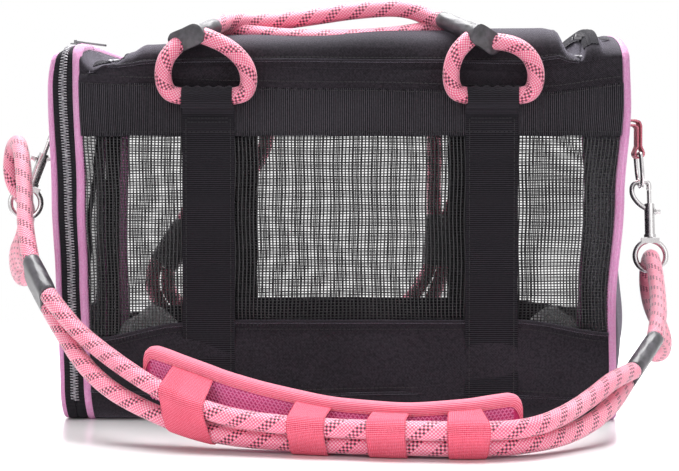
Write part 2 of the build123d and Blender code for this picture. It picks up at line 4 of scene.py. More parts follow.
import bmesh
import bpy
import numpy as np
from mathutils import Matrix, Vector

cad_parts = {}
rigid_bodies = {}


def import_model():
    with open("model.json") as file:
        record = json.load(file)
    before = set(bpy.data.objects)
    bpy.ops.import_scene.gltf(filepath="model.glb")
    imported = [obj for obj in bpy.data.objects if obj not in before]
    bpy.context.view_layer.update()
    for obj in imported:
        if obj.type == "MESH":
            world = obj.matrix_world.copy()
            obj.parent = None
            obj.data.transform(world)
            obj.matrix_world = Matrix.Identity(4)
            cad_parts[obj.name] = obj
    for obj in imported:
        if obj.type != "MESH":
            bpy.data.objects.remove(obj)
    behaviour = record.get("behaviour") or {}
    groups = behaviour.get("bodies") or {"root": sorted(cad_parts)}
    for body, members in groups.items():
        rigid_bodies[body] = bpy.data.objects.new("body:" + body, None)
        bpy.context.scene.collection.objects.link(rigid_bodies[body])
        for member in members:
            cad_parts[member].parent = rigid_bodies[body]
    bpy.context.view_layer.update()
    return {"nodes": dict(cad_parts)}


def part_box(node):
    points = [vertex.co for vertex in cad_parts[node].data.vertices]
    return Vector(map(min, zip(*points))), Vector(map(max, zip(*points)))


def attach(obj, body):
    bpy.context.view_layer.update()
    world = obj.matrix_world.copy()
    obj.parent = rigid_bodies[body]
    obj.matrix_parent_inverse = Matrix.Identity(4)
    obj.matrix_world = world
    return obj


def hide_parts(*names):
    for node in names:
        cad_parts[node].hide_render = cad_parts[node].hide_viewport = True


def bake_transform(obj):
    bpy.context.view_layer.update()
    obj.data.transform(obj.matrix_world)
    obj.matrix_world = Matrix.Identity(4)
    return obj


# Soft-sided pet carrier bag with rope handles and a padded rope strap. Metres, in the CAD's own frame.

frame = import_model()
scene = bpy.context.scene
rng = np.random.default_rng(7)
pi = math.pi

# ------------------------------------------------------------------ driving sizes, from the CAD nodes


def low(node):
    return np.array(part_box(node)[0])


def high(node):
    return np.array(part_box(node)[1])


half_depth = high("rear_mesh")[1]
wall_end = high("front_mesh")[0]
right_end = (low("right_piping")[0] + high("right_piping")[0]) / 2
left_end = (low("left_piping")[0] + high("left_piping")[0]) / 2
door_x = (low("door_piping")[0] + high("door_piping")[0]) / 2
piping_radius = (high("right_piping")[0] - low("right_piping")[0]) / 2
zip_middle = (low("door_zip_tape_inner")[0] + high("door_zip_tape_outer")[0]) / 2
flap_left, flap_right = low("top_flap_panel")[0], high("top_flap_panel")[0]
window_top = {-1: high("front_mesh")[2], 1: high("rear_mesh")[2]}
strap_half = (high("front_strap_left")[0] - low("front_strap_left")[0]) / 2
strap_x = (high("front_strap_right")[0] + low("front_strap_right")[0]) / 2
tunnel_z = high("front_strap_right")[2] - 0.0105
tunnel_y = half_depth + 0.0101
rope_radius = 0.0065
corner = 0.014
cloth = 0.0025


def table(x, pairs):
    """Smooth run through (x, value) pairs."""
    xs, ys = np.array(pairs, float).T
    x = np.clip(np.asarray(x, float), xs[0], xs[-1])
    i = np.clip(np.searchsorted(xs, x) - 1, 0, len(xs) - 2)
    t = (x - xs[i]) / (xs[i + 1] - xs[i])
    t = t * t * (3 - 2 * t)
    return ys[i] * (1 - t) + ys[i + 1] * t


def crest(x):
    """Height of the top along the middle of the bag: it sags beside both end zips."""
    return table(x, [(-.236, .2865), (-.215, .2925), (-.209, .294), (-.203, .288), (-.196, .281),
                     (-.187, .278), (-.179, .2785), (-.169, .287), (-.158, .293), (-.100, .2985),
                     (-.020, .3035), (.060, .3045), (.148, .3055),
                     (.158, .3035), (.1675, .284), (.1765, .280), (.1805, .300), (.185, .3045), (.190, .3045),
                     (.195, .299), (.203, .302), (.213, .3025)])


def seam(x):
    """Height of the front hinge seam and the rear zip, which sag between the ends."""
    return table(x, [(-.236, .266), (-.207, .264), (-.198, .266), (-.187, .2715), (-.175, .2705),
                     (-.100, .2705), (.060, .2685), (.130, .267), (.165, .273), (.213, .2785)])


def band_top(x):
    return table(x, [(-.213, .2605), (-.150, .258), (-.090, .2555), (0, .2545), (.145, .251), (.213, .2585)])


def window_edge(x):
    """Height of the cloth edge under the mesh windows."""
    return table(x, [(-.213, .0615), (-.122, .0745), (-.08, .0765), (.08, .0765), (.122, .077), (.213, .067)])


def squareness(x):
    """Exponents of the top's cross-section: boxy at the door, slack beside it, arched at the other end."""
    across = table(x, [(-.236, .24), (-.207, .26), (-.199, .50), (-.180, .50), (-.150, .36), (.165, .36),
                       (.180, .50), (.213, .85)])
    up = table(x, [(-.236, .30), (-.207, .36), (-.199, .80), (-.180, .80), (-.150, .58), (.165, .58),
                   (.180, .80), (.213, 1.25)])
    return across, up


def lean(x):
    """Extra height at the rear edge and as much less at the front, at the door end."""
    return table(x, [(-.205, .004), (-.170, 0)])


def dome(x, angle):
    """Point of the top's cross-section: 0 is the front seam, pi the rear one."""
    p, q = squareness(x)
    c, s = np.cos(angle), np.sin(angle)
    y = -half_depth * np.sign(c) * np.abs(c) ** p
    z = seam(x) + (crest(x) - seam(x)) * np.abs(s) ** q + lean(x) * y / half_depth * np.abs(s) ** 0.5
    return y, z


waves = [(rng.normal(size=3), rng.uniform(0, 2 * pi)) for _ in range(36)]


def crumple(points, pitch, seed=0):
    """Smooth pseudo-random field of about +-1 over points, with bumps of about that pitch."""
    total = np.zeros(points.shape[:-1])
    for direction, phase in waves[seed % 24:seed % 24 + 9]:
        along = points @ (direction / np.linalg.norm(direction))
        total += np.sin(along * (2 * pi / pitch) + phase * (seed + 1))
    return total / 3.2


# ------------------------------------------------------------------ mesh helpers


def link(name, verts, faces, mat, uv=None, smooth=True):
    mesh = bpy.data.meshes.new(name)
    corners = [tuple(int(i) for i in f) for f in faces]
    mesh.from_pydata([tuple(v) for v in np.asarray(verts, float)], [], corners)
    if uv is not None:
        layer = mesh.uv_layers.new(name="UVMap")
        index = np.array([l.vertex_index for l in mesh.loops])
        layer.data.foreach_set("uv", np.asarray(uv, float)[index].ravel())
    mesh.materials.append(mat)
    if smooth:
        mesh.polygons.foreach_set("use_smooth", [True] * len(mesh.polygons))
    mesh.validate()
    obj = bpy.data.objects.new(name, mesh)
    scene.collection.objects.link(obj)
    return obj


def grid_faces(n, m, offset=0, flip=False, wrap=False):
    i, j = np.meshgrid(np.arange(n - 1), np.arange(m if wrap else m - 1), indexing="ij")
    k = (j + 1) % m
    quads = np.stack([i * m + j, (i + 1) * m + j, (i + 1) * m + k, i * m + k], -1).reshape(-1, 4) + offset
    return quads[:, ::-1] if flip else quads


def grid_normals(points):
    du = np.gradient(points, axis=0)
    dv = np.gradient(points, axis=1)
    normal = np.cross(du, dv)
    return normal / np.maximum(np.linalg.norm(normal, axis=2, keepdims=True), 1e-12)


def arc_uv(points):
    """UV in metres along the two directions of a grid, from its middle rows."""
    n, m, _ = points.shape
    return uv_grid(lengths(points[:, m // 2]), lengths(points[n // 2]))


def sheet_solid(points, thickness, flip=False):
    """Verts, faces and UV of a closed sheet: the grid and a copy of it set back along its normals."""
    n, m, _ = points.shape
    normal = grid_normals(points) * (-1 if flip else 1)
    back = points - normal * thickness
    verts = np.r_[points.reshape(-1, 3), back.reshape(-1, 3)]
    faces = [grid_faces(n, m, 0, flip), grid_faces(n, m, n * m, not flip)]
    rim = np.r_[np.arange(m), np.arange(1, n) * m + m - 1, (n - 1) * m + np.arange(m - 2, -1, -1),
                np.arange(n - 2, 0, -1) * m]
    nxt = np.roll(rim, -1)
    side = np.stack([rim, nxt, nxt + n * m, rim + n * m], -1)
    faces.append(side if flip else side[:, ::-1])
    uv = arc_uv(points)
    return verts, np.concatenate(faces), np.r_[uv, uv]


def hoop_skin(outer, inner):
    """Verts and faces of the closed skin between two grids that run round and meet themselves."""
    n, m, _ = outer.shape
    verts = np.r_[outer.reshape(-1, 3), inner.reshape(-1, 3)]
    faces = grid_faces(n, m, 0, wrap=True).tolist() + grid_faces(n, m, n * m, flip=True, wrap=True).tolist()
    for row in (0, n - 1):
        for j in range(m):
            k = (j + 1) % m
            face = [row * m + j, row * m + k, n * m + row * m + k, n * m + row * m + j]
            faces.append(face if row else face[::-1])
    return verts, faces


def sheet(name, points, thickness, mat, flip=False):
    verts, faces, uv = sheet_solid(points, thickness, flip)
    return link(name, verts, faces, mat, uv)


def merge(parts):
    """Joins (verts, faces, uv) triples."""
    verts, faces, uvs, count = [], [], [], 0
    for v, f, uv in parts:
        verts.append(v)
        faces.extend([[int(i) + count for i in face] for face in f])
        uvs.append(uv)
        count += len(v)
    return np.concatenate(verts), faces, np.concatenate(uvs)


def joined(name, parts, mat, smooth=True):
    """One object made of many (verts, faces, uv) parts."""
    verts, faces, uv = merge(parts)
    return link(name, verts, faces, mat, uv, smooth)


def tangents(line, closed=False):
    if closed:
        t = np.roll(line, -1, 0) - np.roll(line, 1, 0)
    else:
        t = np.gradient(line, axis=0)
    return t / np.maximum(np.linalg.norm(t, axis=1, keepdims=True), 1e-12)


def frames(line, closed=False, up=(0.0, 0.0, 1.0)):
    """Twist-free frames along a line."""
    t = tangents(line, closed)
    side = np.cross(t[0], np.array(up))
    if np.linalg.norm(side) < 1e-3:
        side = np.cross(t[0], np.array((0.0, 1.0, 0.1)))
    side /= np.linalg.norm(side)
    sides = [side]
    for a, b in zip(t, t[1:]):
        axis = np.cross(a, b)
        s = np.linalg.norm(axis)
        if s > 1e-9:
            axis /= s
            turn = math.atan2(s, float(a @ b))
            side = (side * math.cos(turn) + np.cross(axis, side) * math.sin(turn)
                    + axis * (axis @ side) * (1 - math.cos(turn)))
        side = side - b * (side @ b)
        side /= np.linalg.norm(side)
        sides.append(side)
    sides = np.array(sides)
    return t, sides, np.cross(t, sides)


def lengths(line):
    return np.r_[0, np.cumsum(np.linalg.norm(np.diff(line, axis=0), axis=1))]


def read_run(line, at, values=None):
    """Points of a line, or values kept at its points, at the given distances along it."""
    values = line if values is None else values
    s = lengths(line)
    return np.stack([np.interp(at, s, column) for column in values.T], -1)


def resample(line, step):
    total = lengths(line)[-1]
    count = max(int(round(total / step)), 2)
    return read_run(line, np.linspace(0, total, count + 1))


def close_run(run, count):
    """A closed run, read at count even places."""
    run = np.r_[run, run[:1]]
    return read_run(run, np.linspace(0, lengths(run)[-1], count + 1)[:-1])


def uv_grid(u, v):
    return np.stack(np.meshgrid(u, v, indexing="ij"), -1).reshape(-1, 2)


def tube_part(line, radius, around=12, shape=None, closed=False, caps=True, v_scale=1.0):
    """Verts, faces, UV of a tube; u is metres along it and v runs 0..1 around it."""
    t, side, other = frames(line, closed)
    angle = np.linspace(0, 2 * pi, around + 1)[:-1]
    s = lengths(line)
    r = np.full((len(line), around), 1.0) * radius
    if shape is not None:
        r = r * shape(s[:, None], angle[None, :])
    ring = side[:, None] * np.cos(angle)[None, :, None] + other[:, None] * np.sin(angle)[None, :, None]
    points = line[:, None] + ring * r[..., None]
    n = len(line)
    # the seam column is doubled, so that v doesn't run backwards
    points = np.concatenate([points, points[:, :1]], 1)
    m = around + 1
    uv = uv_grid(s, np.linspace(0, v_scale, m))
    verts = points.reshape(-1, 3)
    faces = grid_faces(n, m).tolist()
    if closed:
        last = (n - 1) * m
        faces += [[last + j, j, j + 1, last + j + 1] for j in range(m - 1)]
    elif caps:
        for row, order in ((0, 1), (n - 1, -1)):
            middle = len(verts)
            verts = np.r_[verts, [line[row] + t[row] * (-1 if row == 0 else 1) * radius * 0.15]]
            uv = np.r_[uv, [[s[row], 0.5]]]
            for j in range(m - 1):
                face = [row * m + j, row * m + j + 1, middle]
                faces.append(face if order > 0 else face[::-1])
    return verts, faces, uv


def tube(name, line, radius, mat, **options):
    verts, faces, uv = tube_part(line, radius, **options)
    obj = link(name, verts, faces, mat, uv)
    weld(obj)
    return obj


def weld(obj, distance=1e-6):
    """Joins doubled seam columns; UVs live on corners, so they stay."""
    bm = bmesh.new()
    bm.from_mesh(obj.data)
    bmesh.ops.remove_doubles(bm, verts=bm.verts, dist=distance)
    bmesh.ops.recalc_face_normals(bm, faces=bm.faces)
    bm.to_mesh(obj.data)
    bm.free()


def ribbon_part(line, normal, width, height):
    """Flat strip with a rectangular section along a line; normal gives its face direction."""
    t = tangents(line)
    normal = normal - t * np.sum(normal * t, 1, keepdims=True)
    normal /= np.linalg.norm(normal, axis=1, keepdims=True)
    across = np.cross(t, normal)
    offsets = [(-1, -1), (1, -1), (1, 1), (-1, 1)]
    ring = np.stack([line + across * (a * width / 2) + normal * (b * height / 2) for a, b in offsets], 1)
    n = len(line)
    ends = [[0, 1, 2, 3], [4 * n - 1, 4 * n - 2, 4 * n - 3, 4 * n - 4]]
    faces = grid_faces(n, 4, wrap=True).tolist() + ends
    s = lengths(line)
    uv = uv_grid(s, [0, width, width + height, 2 * width])
    return ring.reshape(-1, 3), faces, uv


def stitches(name, line, normal, mat, body, pitch=0.0034, size=0.0024, lift=0.0002):
    """A row of sewn stitches along a line on cloth."""
    line = np.asarray(line)
    s = lengths(line)
    parts = []
    for start in np.arange(pitch / 2, s[-1] - size, pitch):
        at = np.array([start, start + size * 0.25, start + size * 0.75, start + size])
        run, face = read_run(line, at), read_run(line, at, normal)
        run = run + face * (np.array([-0.2, 1, 1, -0.2]) * lift)[:, None]
        parts.append(ribbon_part(run, face, 0.0006, 0.0004))
    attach(joined(name, parts, mat), body)


def nurbs(points):
    """Points read from the smooth route whose control points are given, in millimetres."""
    curve = bpy.data.curves.new("route", "CURVE")
    curve.dimensions = "3D"
    curve.resolution_u = 24
    spline = curve.splines.new("NURBS")
    spline.points.add(len(points) - 1)
    for knot, point in zip(spline.points, points):
        knot.co = (*(c / 1000 for c in point), 1)
    spline.order_u = 3
    spline.use_endpoint_u = True
    obj = bpy.data.objects.new("route", curve)
    mesh = bpy.data.meshes.new_from_object(obj)
    line = np.array([v.co for v in mesh.vertices])
    bpy.data.objects.remove(obj)
    return line


# ------------------------------------------------------------------ materials


def srgb(r, g, b):
    return tuple(((c / 255) / 12.92 if c / 255 <= 0.04045 else ((c / 255 + 0.055) / 1.055) ** 2.4)
                 for c in (r, g, b)) + (1,)


class Mat:
    """Small builder for node materials."""

    def __init__(self, name, rough=0.8, metal=0.0, **sockets):
        self.mat = bpy.data.materials.new(name)
        self.mat.use_nodes = True
        self.tree = self.mat.node_tree
        self.bsdf = self.tree.nodes["Principled BSDF"]
        self.bsdf.inputs["Roughness"].default_value = rough
        self.bsdf.inputs["Metallic"].default_value = metal
        for key, value in sockets.items():
            self.bsdf.inputs[key.replace("_", " ")].default_value = value

    def node(self, kind, inputs=(), **props):
        n = self.tree.nodes.new(kind)
        for key, value in props.items():
            setattr(n, key, value)
        for key, value in dict(inputs).items():
            if isinstance(value, bpy.types.NodeSocket):
                self.tree.links.new(value, n.inputs[key])
            else:
                n.inputs[key].default_value = value
        return n

    def math(self, op, a, b=0.0, c=0.0):
        return self.node("ShaderNodeMath", {0: a, 1: b, 2: c}, operation=op).outputs[0]

    def coords(self, kind="UV"):
        n = self.node("ShaderNodeTexCoord")
        return n.outputs[kind]

    def split(self, vector):
        n = self.node("ShaderNodeSeparateXYZ", {0: vector})
        return n.outputs[0], n.outputs[1], n.outputs[2]

    def noise(self, scale, detail=3.0, vector=None, rough=0.55):
        vector = vector if vector is not None else self.coords("Object")
        return self.node("ShaderNodeTexNoise", {"Vector": vector, "Scale": scale, "Detail": detail,
                                                "Roughness": rough}).outputs["Fac"]

    def wave(self, coordinate, pitch, phase=0.0):
        """0..1 wave of a coordinate in metres."""
        turn = self.math("MULTIPLY_ADD", coordinate, 2 * pi / pitch, phase)
        return self.math("MULTIPLY_ADD", self.math("SINE", turn), 0.5, 0.5)

    def ramp(self, fac, stops):
        n = self.node("ShaderNodeValToRGB", {"Fac": fac})
        while len(n.color_ramp.elements) < len(stops):
            n.color_ramp.elements.new(0.5)
        for e, (pos, colour) in zip(n.color_ramp.elements, stops):
            e.position = pos
            e.color = colour
        return n.outputs["Color"]

    def mix(self, fac, a, b, kind="MIX"):
        n = self.node("ShaderNodeMix", data_type="RGBA", blend_type=kind)
        for key, value in ((0, fac), (6, a), (7, b)):
            if isinstance(value, bpy.types.NodeSocket):
                self.tree.links.new(value, n.inputs[key])
            else:
                n.inputs[key].default_value = value
        return n.outputs[2]

    def colour(self, socket):
        self.tree.links.new(socket, self.bsdf.inputs["Base Color"])

    def rough(self, socket):
        self.tree.links.new(socket, self.bsdf.inputs["Roughness"])

    def bump(self, height, distance=0.0003, strength=0.6):
        n = self.node("ShaderNodeBump", {"Height": height, "Distance": distance, "Strength": strength})
        self.tree.links.new(n.outputs[0], self.bsdf.inputs["Normal"])


def woven(name, dark, light, pitch=0.0009, rough=0.85, sheen=0.25, tint=(0.75, 0.7, 0.85, 1),
          ribs=None, spread=9.0, span=(0.36, 0.70)):
    """Woven cloth: crossing threads or ribs, stray light fibres and uneven dye."""
    m = Mat(name, rough, Sheen_Weight=sheen, Sheen_Roughness=0.45, Sheen_Tint=tint, Specular_IOR_Level=0.18)
    u, v, _ = m.split(m.coords("UV"))
    over = m.math("MULTIPLY", m.wave(u, pitch), m.wave(v, pitch))
    under = m.math("MULTIPLY", m.wave(u, pitch, pi), m.wave(v, pitch, pi))
    thread = m.math("ADD", over, under)
    weight = 0.40
    if ribs:
        axis, rib_pitch = ribs
        thread = m.math("MULTIPLY_ADD", m.wave(u if axis == "u" else v, rib_pitch), 0.85,
                        m.math("MULTIPLY", thread, 0.15))
        weight = 0.62
    fine = m.noise(620.0, 3.0, rough=0.7)
    patch = m.noise(spread, 3.0)
    value = m.math("MULTIPLY_ADD", thread, weight, m.math("MULTIPLY", fine, 1.0 - weight))
    value = m.math("MULTIPLY_ADD", m.math("SUBTRACT", patch, 0.5), 0.3, value)
    m.colour(m.ramp(value, [(span[0], dark), (span[1], light)]))
    m.rough(m.math("MULTIPLY_ADD", patch, 0.12, rough - 0.06))
    m.bump(m.math("ADD", thread, m.math("MULTIPLY", fine, 0.8)), 0.0003, 0.7)
    return m.mat


black_cloth = woven("black_cloth", srgb(1, 1, 2), srgb(60, 54, 62), pitch=0.0012, sheen=0.55)
strap_webbing = woven("strap_webbing", srgb(1, 1, 2), srgb(54, 51, 58), ribs=("v", 0.0016), sheen=0.08)
ribbed_band = woven("ribbed_band", srgb(0, 0, 1), srgb(94, 90, 98), ribs=("u", 0.0018), sheen=0.1,
                    span=(0.40, 0.86))
zip_tape = woven("zip_tape", srgb(8, 8, 9), srgb(46, 44, 50), ribs=("v", 0.0011), sheen=0.08)
tether_web = woven("tether_web", srgb(14, 13, 16), srgb(40, 38, 44), ribs=("u", 0.0015), sheen=0.1)
orchid_piping = woven("orchid_piping", srgb(240, 146, 210), srgb(255, 205, 240), pitch=0.0011,
                      rough=0.6, sheen=0.3, tint=(1, 0.85, 0.95, 1), spread=14.0)
coral_tab = woven("coral_tab", srgb(236, 100, 126), srgb(255, 162, 178), ribs=("v", 0.0013), rough=0.6,
                  tint=(1, 0.85, 0.9, 1))
salmon_binding = woven("salmon_binding", srgb(240, 96, 126), srgb(255, 162, 182), ribs=("v", 0.0012),
                       rough=0.55, sheen=0.35, tint=(1, 0.9, 0.92, 1))
salmon_elastic = woven("salmon_elastic", srgb(232, 72, 102), srgb(255, 148, 170), ribs=("v", 0.0012),
                       rough=0.6, sheen=0.1, tint=(1, 0.85, 0.9, 1))


def mesh_wire():
    m = Mat("mesh_wire", 0.38, Specular_IOR_Level=0.6)
    grain = m.noise(900.0, 2.0)
    m.colour(m.ramp(grain, [(0.3, srgb(10, 10, 12)), (0.75, srgb(46, 44, 50))]))
    m.bump(grain, 0.0001, 0.4)
    return m.mat


def rope_material():
    """Braided cover: crossing yarns, with pairs of dark yarns that show as checks where they come on top; the
    pink carries painted shade in the creases between yarns and a painted highlight on their crowns.
    """
    m = Mat("pink_rope", 0.4, Sheen_Weight=0.8, Sheen_Roughness=0.3, Sheen_Tint=(1, 0.92, 0.95, 1),
            Specular_IOR_Level=0.8)
    u, v, _ = m.split(m.coords("UV"))
    yarns, lead = 16.0, 0.041
    turns = m.math("DIVIDE", u, lead)
    left = m.math("MULTIPLY", m.math("ADD", v, turns), yarns)
    right = m.math("MULTIPLY", m.math("SUBTRACT", v, turns), yarns)
    left_cell, right_cell = m.math("FLOOR", left), m.math("FLOOR", right)
    over = m.math("FLOORED_MODULO", m.math("ADD", left_cell, right_cell), 2.0)
    group = m.math("FLOORED_MODULO", left_cell, 8.0)
    dark_yarn = m.math("LESS_THAN", group, 2.9)
    across_left = m.math("ABSOLUTE", m.math("SUBTRACT", m.math("FRACT", left), 0.5))
    across_right = m.math("ABSOLUTE", m.math("SUBTRACT", m.math("FRACT", right), 0.5))
    inside = m.math("LESS_THAN", m.math("MAXIMUM", across_left, across_right), 0.40)
    fleck = m.math("MULTIPLY", m.math("MULTIPLY", dark_yarn, over), inside)
    round_left = m.math("SUBTRACT", 1.0, m.math("MULTIPLY", m.math("POWER", across_left, 2.0), 3.2))
    round_right = m.math("SUBTRACT", 1.0, m.math("MULTIPLY", m.math("POWER", across_right, 2.0), 3.2))
    height = m.math("MULTIPLY", round_left, round_right)
    fibre = m.noise(1600.0, 2.0)
    crease_shade_and_tone = m.math("MULTIPLY_ADD", height, 0.6, m.math("MULTIPLY", fibre, 0.35))
    crease_shade_and_tone = m.math("MULTIPLY_ADD", m.noise(22.0, 2.0), 0.18, crease_shade_and_tone)
    # painted shade and highlight: the yarn relief darkens the pink where the yarns meet and lightens it to
    # near white on their crowns; the two noises add grain and random tone
    pink = m.ramp(crease_shade_and_tone, [(0.18, srgb(228, 34, 96)), (0.52, srgb(250, 106, 148)),
                          (0.86, srgb(255, 210, 222))])
    m.colour(m.mix(fleck, pink, srgb(34, 14, 22)))
    m.bump(m.math("MULTIPLY_ADD", fibre, 0.25, height), 0.0006, 0.7)
    return m.mat


def sleeve_material():
    m = Mat("shrink_sleeve", 0.4, Coat_Weight=0.35, Coat_Roughness=0.28)
    scratch = m.noise(160.0, 4.0)
    m.colour(m.ramp(scratch, [(0.3, srgb(34, 33, 37)), (0.8, srgb(92, 88, 96))]))
    m.rough(m.math("MULTIPLY_ADD", scratch, 0.35, 0.22))
    m.bump(scratch, 0.0004, 0.5)
    return m.mat


def metal_material(name, base, rough, wear):
    m = Mat(name, rough, 1.0)
    marks = m.noise(420.0, 4.0)
    broad = m.noise(60.0, 2.0)
    m.colour(m.ramp(broad, [(0.2, tuple(c * 0.82 for c in base[:3]) + (1,)), (0.8, base)]))
    m.rough(m.math("MULTIPLY_ADD", marks, wear, rough - wear / 2))
    m.bump(marks, 0.00008, 0.35)
    return m.mat


def air_mesh_material():
    m = Mat("orchid_air_mesh", 0.7, Sheen_Weight=0.3, Sheen_Roughness=0.4, Sheen_Tint=(1, 0.85, 0.95, 1))
    u, v, _ = m.split(m.coords("UV"))
    fine = m.noise(1500.0, 2.0)
    rows = m.wave(m.math("ADD", u, v), 0.0009)
    value = m.math("MULTIPLY_ADD", rows, 0.4, m.math("MULTIPLY", fine, 0.5))
    m.colour(m.ramp(value, [(0.2, srgb(236, 116, 180)), (0.8, srgb(255, 186, 226))]))
    m.bump(value, 0.0002, 0.5)
    return m.mat


def plastic_material(name, dark, light, rough=0.4, scale=300.0):
    m = Mat(name, rough)
    grain = m.noise(scale, 3.0)
    m.colour(m.ramp(grain, [(0.3, dark), (0.8, light)]))
    m.rough(m.math("MULTIPLY_ADD", grain, 0.2, rough - 0.1))
    m.bump(grain, 0.0001, 0.3)
    return m.mat


def fleece_material():
    m = Mat("grey_fleece", 0.95, Sheen_Weight=0.6, Sheen_Roughness=0.6, Sheen_Tint=(1, 1, 1, 1))
    curl = m.noise(420.0, 5.0, rough=0.7)
    soft = m.noise(40.0, 3.0)
    value = m.math("MULTIPLY_ADD", curl, 0.6, m.math("MULTIPLY", soft, 0.4))
    m.colour(m.ramp(value, [(0.3, srgb(214, 213, 217)), (0.75, srgb(250, 250, 252))]))
    m.bump(curl, 0.0012, 0.8)
    return m.mat


wire = mesh_wire()
rope_mat = rope_material()
sleeve_mat = sleeve_material()
nickel = metal_material("nickel", srgb(206, 203, 204), 0.26, 0.16)
gunmetal = metal_material("zip_metal", srgb(132, 130, 134), 0.34, 0.2)
air_mesh = air_mesh_material()
# painted shade: the pad's core is a darker copy of the net's pink, so that the holes in the knit look shaded
shaded_air_core = plastic_material("air_mesh_core", srgb(190, 44, 116), srgb(232, 96, 160), 0.8, 700.0)
# painted highlight: the zip coil is coloured pale grey all over to stand for the glints on what is a dark
# coil
pale_coil_painted_glint = plastic_material("zip_plastic", srgb(110, 108, 114), srgb(222, 220, 226), 0.25, 500.0)
board_plastic = plastic_material("base_board", srgb(20, 20, 22), srgb(34, 34, 37), 0.55)
fleece = fleece_material()
thread_black = plastic_material("stitch_black", srgb(14, 13, 15), srgb(48, 46, 51), 0.6, 900.0)
thread_pink = plastic_material("stitch_pink", srgb(226, 92, 120), srgb(255, 176, 186), 0.55, 900.0)


def place(obj, body, slot, *nodes):
    """Rides a piece on a body and hides the CAD nodes that it stands for; slot is not used."""
    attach(obj, body)
    if nodes:
        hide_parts(*nodes)
    return obj


def finish_node(node, mat):
    """Gives a CAD node that stays as it is its material."""
    materials = frame["nodes"][node].data.materials
    materials.clear()
    materials.append(mat)


# ------------------------------------------------------------------ camera, light, floor

focal_px, image_width = 1784.0, 679.0
camera_data = bpy.data.cameras.new("camera")
camera_data.sensor_width = 36.0
camera_data.lens = focal_px / image_width * 36.0
camera_data.clip_end = 50.0
camera = bpy.data.objects.new("camera", camera_data)
camera.location = (0.0115, -1.502, 0.179)
camera.rotation_euler = (pi / 2 - 0.02718, 0.0, 0.0143)
scene.collection.objects.link(camera)
scene.camera = camera

scene.view_settings.view_transform = "Standard"


def light(name, kind, position, target, size, power, colour=(1, 1, 1)):
    data = bpy.data.lights.new(name, kind)
    data.energy = power
    data.color = colour
    data.shape = "RECTANGLE"
    data.size, data.size_y = size
    obj = bpy.data.objects.new(name, data)
    obj.location = position
    direction = np.array(target) - np.array(position)
    obj.rotation_euler = (math.atan2(math.hypot(direction[0], direction[1]), -direction[2]), 0,
                          math.atan2(direction[1], direction[0]) - pi / 2)
    scene.collection.objects.link(obj)


light("top_softbox", "AREA", (0.0, 0.25, 1.5), (0, 0, 0.2), (1.6, 1.2), 58)
light("front_left", "AREA", (-1.1, -1.5, 0.9), (0, 0, 0.15), (1.0, 1.0), 6.5)
light("front_right", "AREA", (1.2, -1.4, 0.8), (0, 0, 0.15), (1.0, 1.0), 5)
light("back_fill", "AREA", (0.0, 1.6, 0.7), (0, 0, 0.15), (1.6, 1.0), 12)

world = bpy.data.worlds.new("world")
scene.world = world
world.use_nodes = True
nt = world.node_tree
background = nt.nodes["Background"]
path = nt.nodes.new("ShaderNodeLightPath")
# full white to camera, transmission and glossy rays, weaker as a light on everything else
white = path.outputs["Is Camera Ray"]
for kind in ("Is Transmission Ray", "Is Glossy Ray"):
    either = nt.nodes.new("ShaderNodeMath")
    either.operation = "MAXIMUM"
    nt.links.new(white, either.inputs[0])
    nt.links.new(path.outputs[kind], either.inputs[1])
    white = either.outputs[0]
level = nt.nodes.new("ShaderNodeMapRange")
level.inputs["To Min"].default_value = 0.31
level.inputs["To Max"].default_value = 1.0
nt.links.new(white, level.inputs["Value"])
nt.links.new(level.outputs[0], background.inputs["Strength"])
background.inputs["Color"].default_value = (1, 1, 1, 1)


def floor_material():
    """Pale floor that fades out into the white background away from the bag."""
    m = Mat("floor", 0.3, Specular_IOR_Level=0.4)
    m.bsdf.inputs["Base Color"].default_value = (0.95, 0.94, 0.95, 1)
    m.rough(m.math("MULTIPLY_ADD", m.noise(6.0, 2.0), 0.1, 0.2))
    away = m.node("ShaderNodeVectorMath", {0: m.coords("Object")}, operation="LENGTH").outputs["Value"]
    fade = m.node("ShaderNodeMapRange", {"Value": away, "From Min": 0.42, "From Max": 1.0},
                  interpolation_type="SMOOTHERSTEP")
    clear = m.node("ShaderNodeBsdfTransparent")
    blend = m.node("ShaderNodeMixShader", {0: fade.outputs[0], 1: m.bsdf.outputs[0], 2: clear.outputs[0]})
    out = next(n for n in m.tree.nodes if n.type == "OUTPUT_MATERIAL")
    m.tree.links.new(blend.outputs[0], out.inputs["Surface"])
    return m.mat


reach = np.linspace(-1.1, 1.1, 25)
gx, gy = np.meshgrid(reach, reach, indexing="ij")
flat = np.stack([gx, gy, np.zeros_like(gx)], -1).reshape(-1, 3)
floor = link("floor", flat, grid_faces(25, 25), floor_material())

# ------------------------------------------------------------------ rope routes, in millimetres


def beside(point, across, side, pitch=13.2):
    across = np.array(across) / np.linalg.norm(across)
    return tuple(np.array(point) + across * side * pitch / 2)


front_sleeves = {
    "left": ((-121, -147.5, 293), (-103, -110, 305), (0.75, -0.47, 0.27)),
    "right": ((100, -147.5, 292), (76, -112, 306), (-0.66, -0.62, 0.36)),
}
rear_sleeves = {
    "left": ((-152, 151.5, 144), (-176, 151.5, 107), (0.839, 0, -0.544)),
    "right": ((82, 151.5, 153), (79, 151.5, 107), (1, 0, -0.065)),
}
strap_sleeves = {
    "left": ((-240, -160, 118), (-222, -190, 95), (-0.08, 0.66, -0.747)),
    "right": ((225.8, -165, 60.6), (203.8, -205, 40.9), (-0.35, 0.55, -0.757)),
}


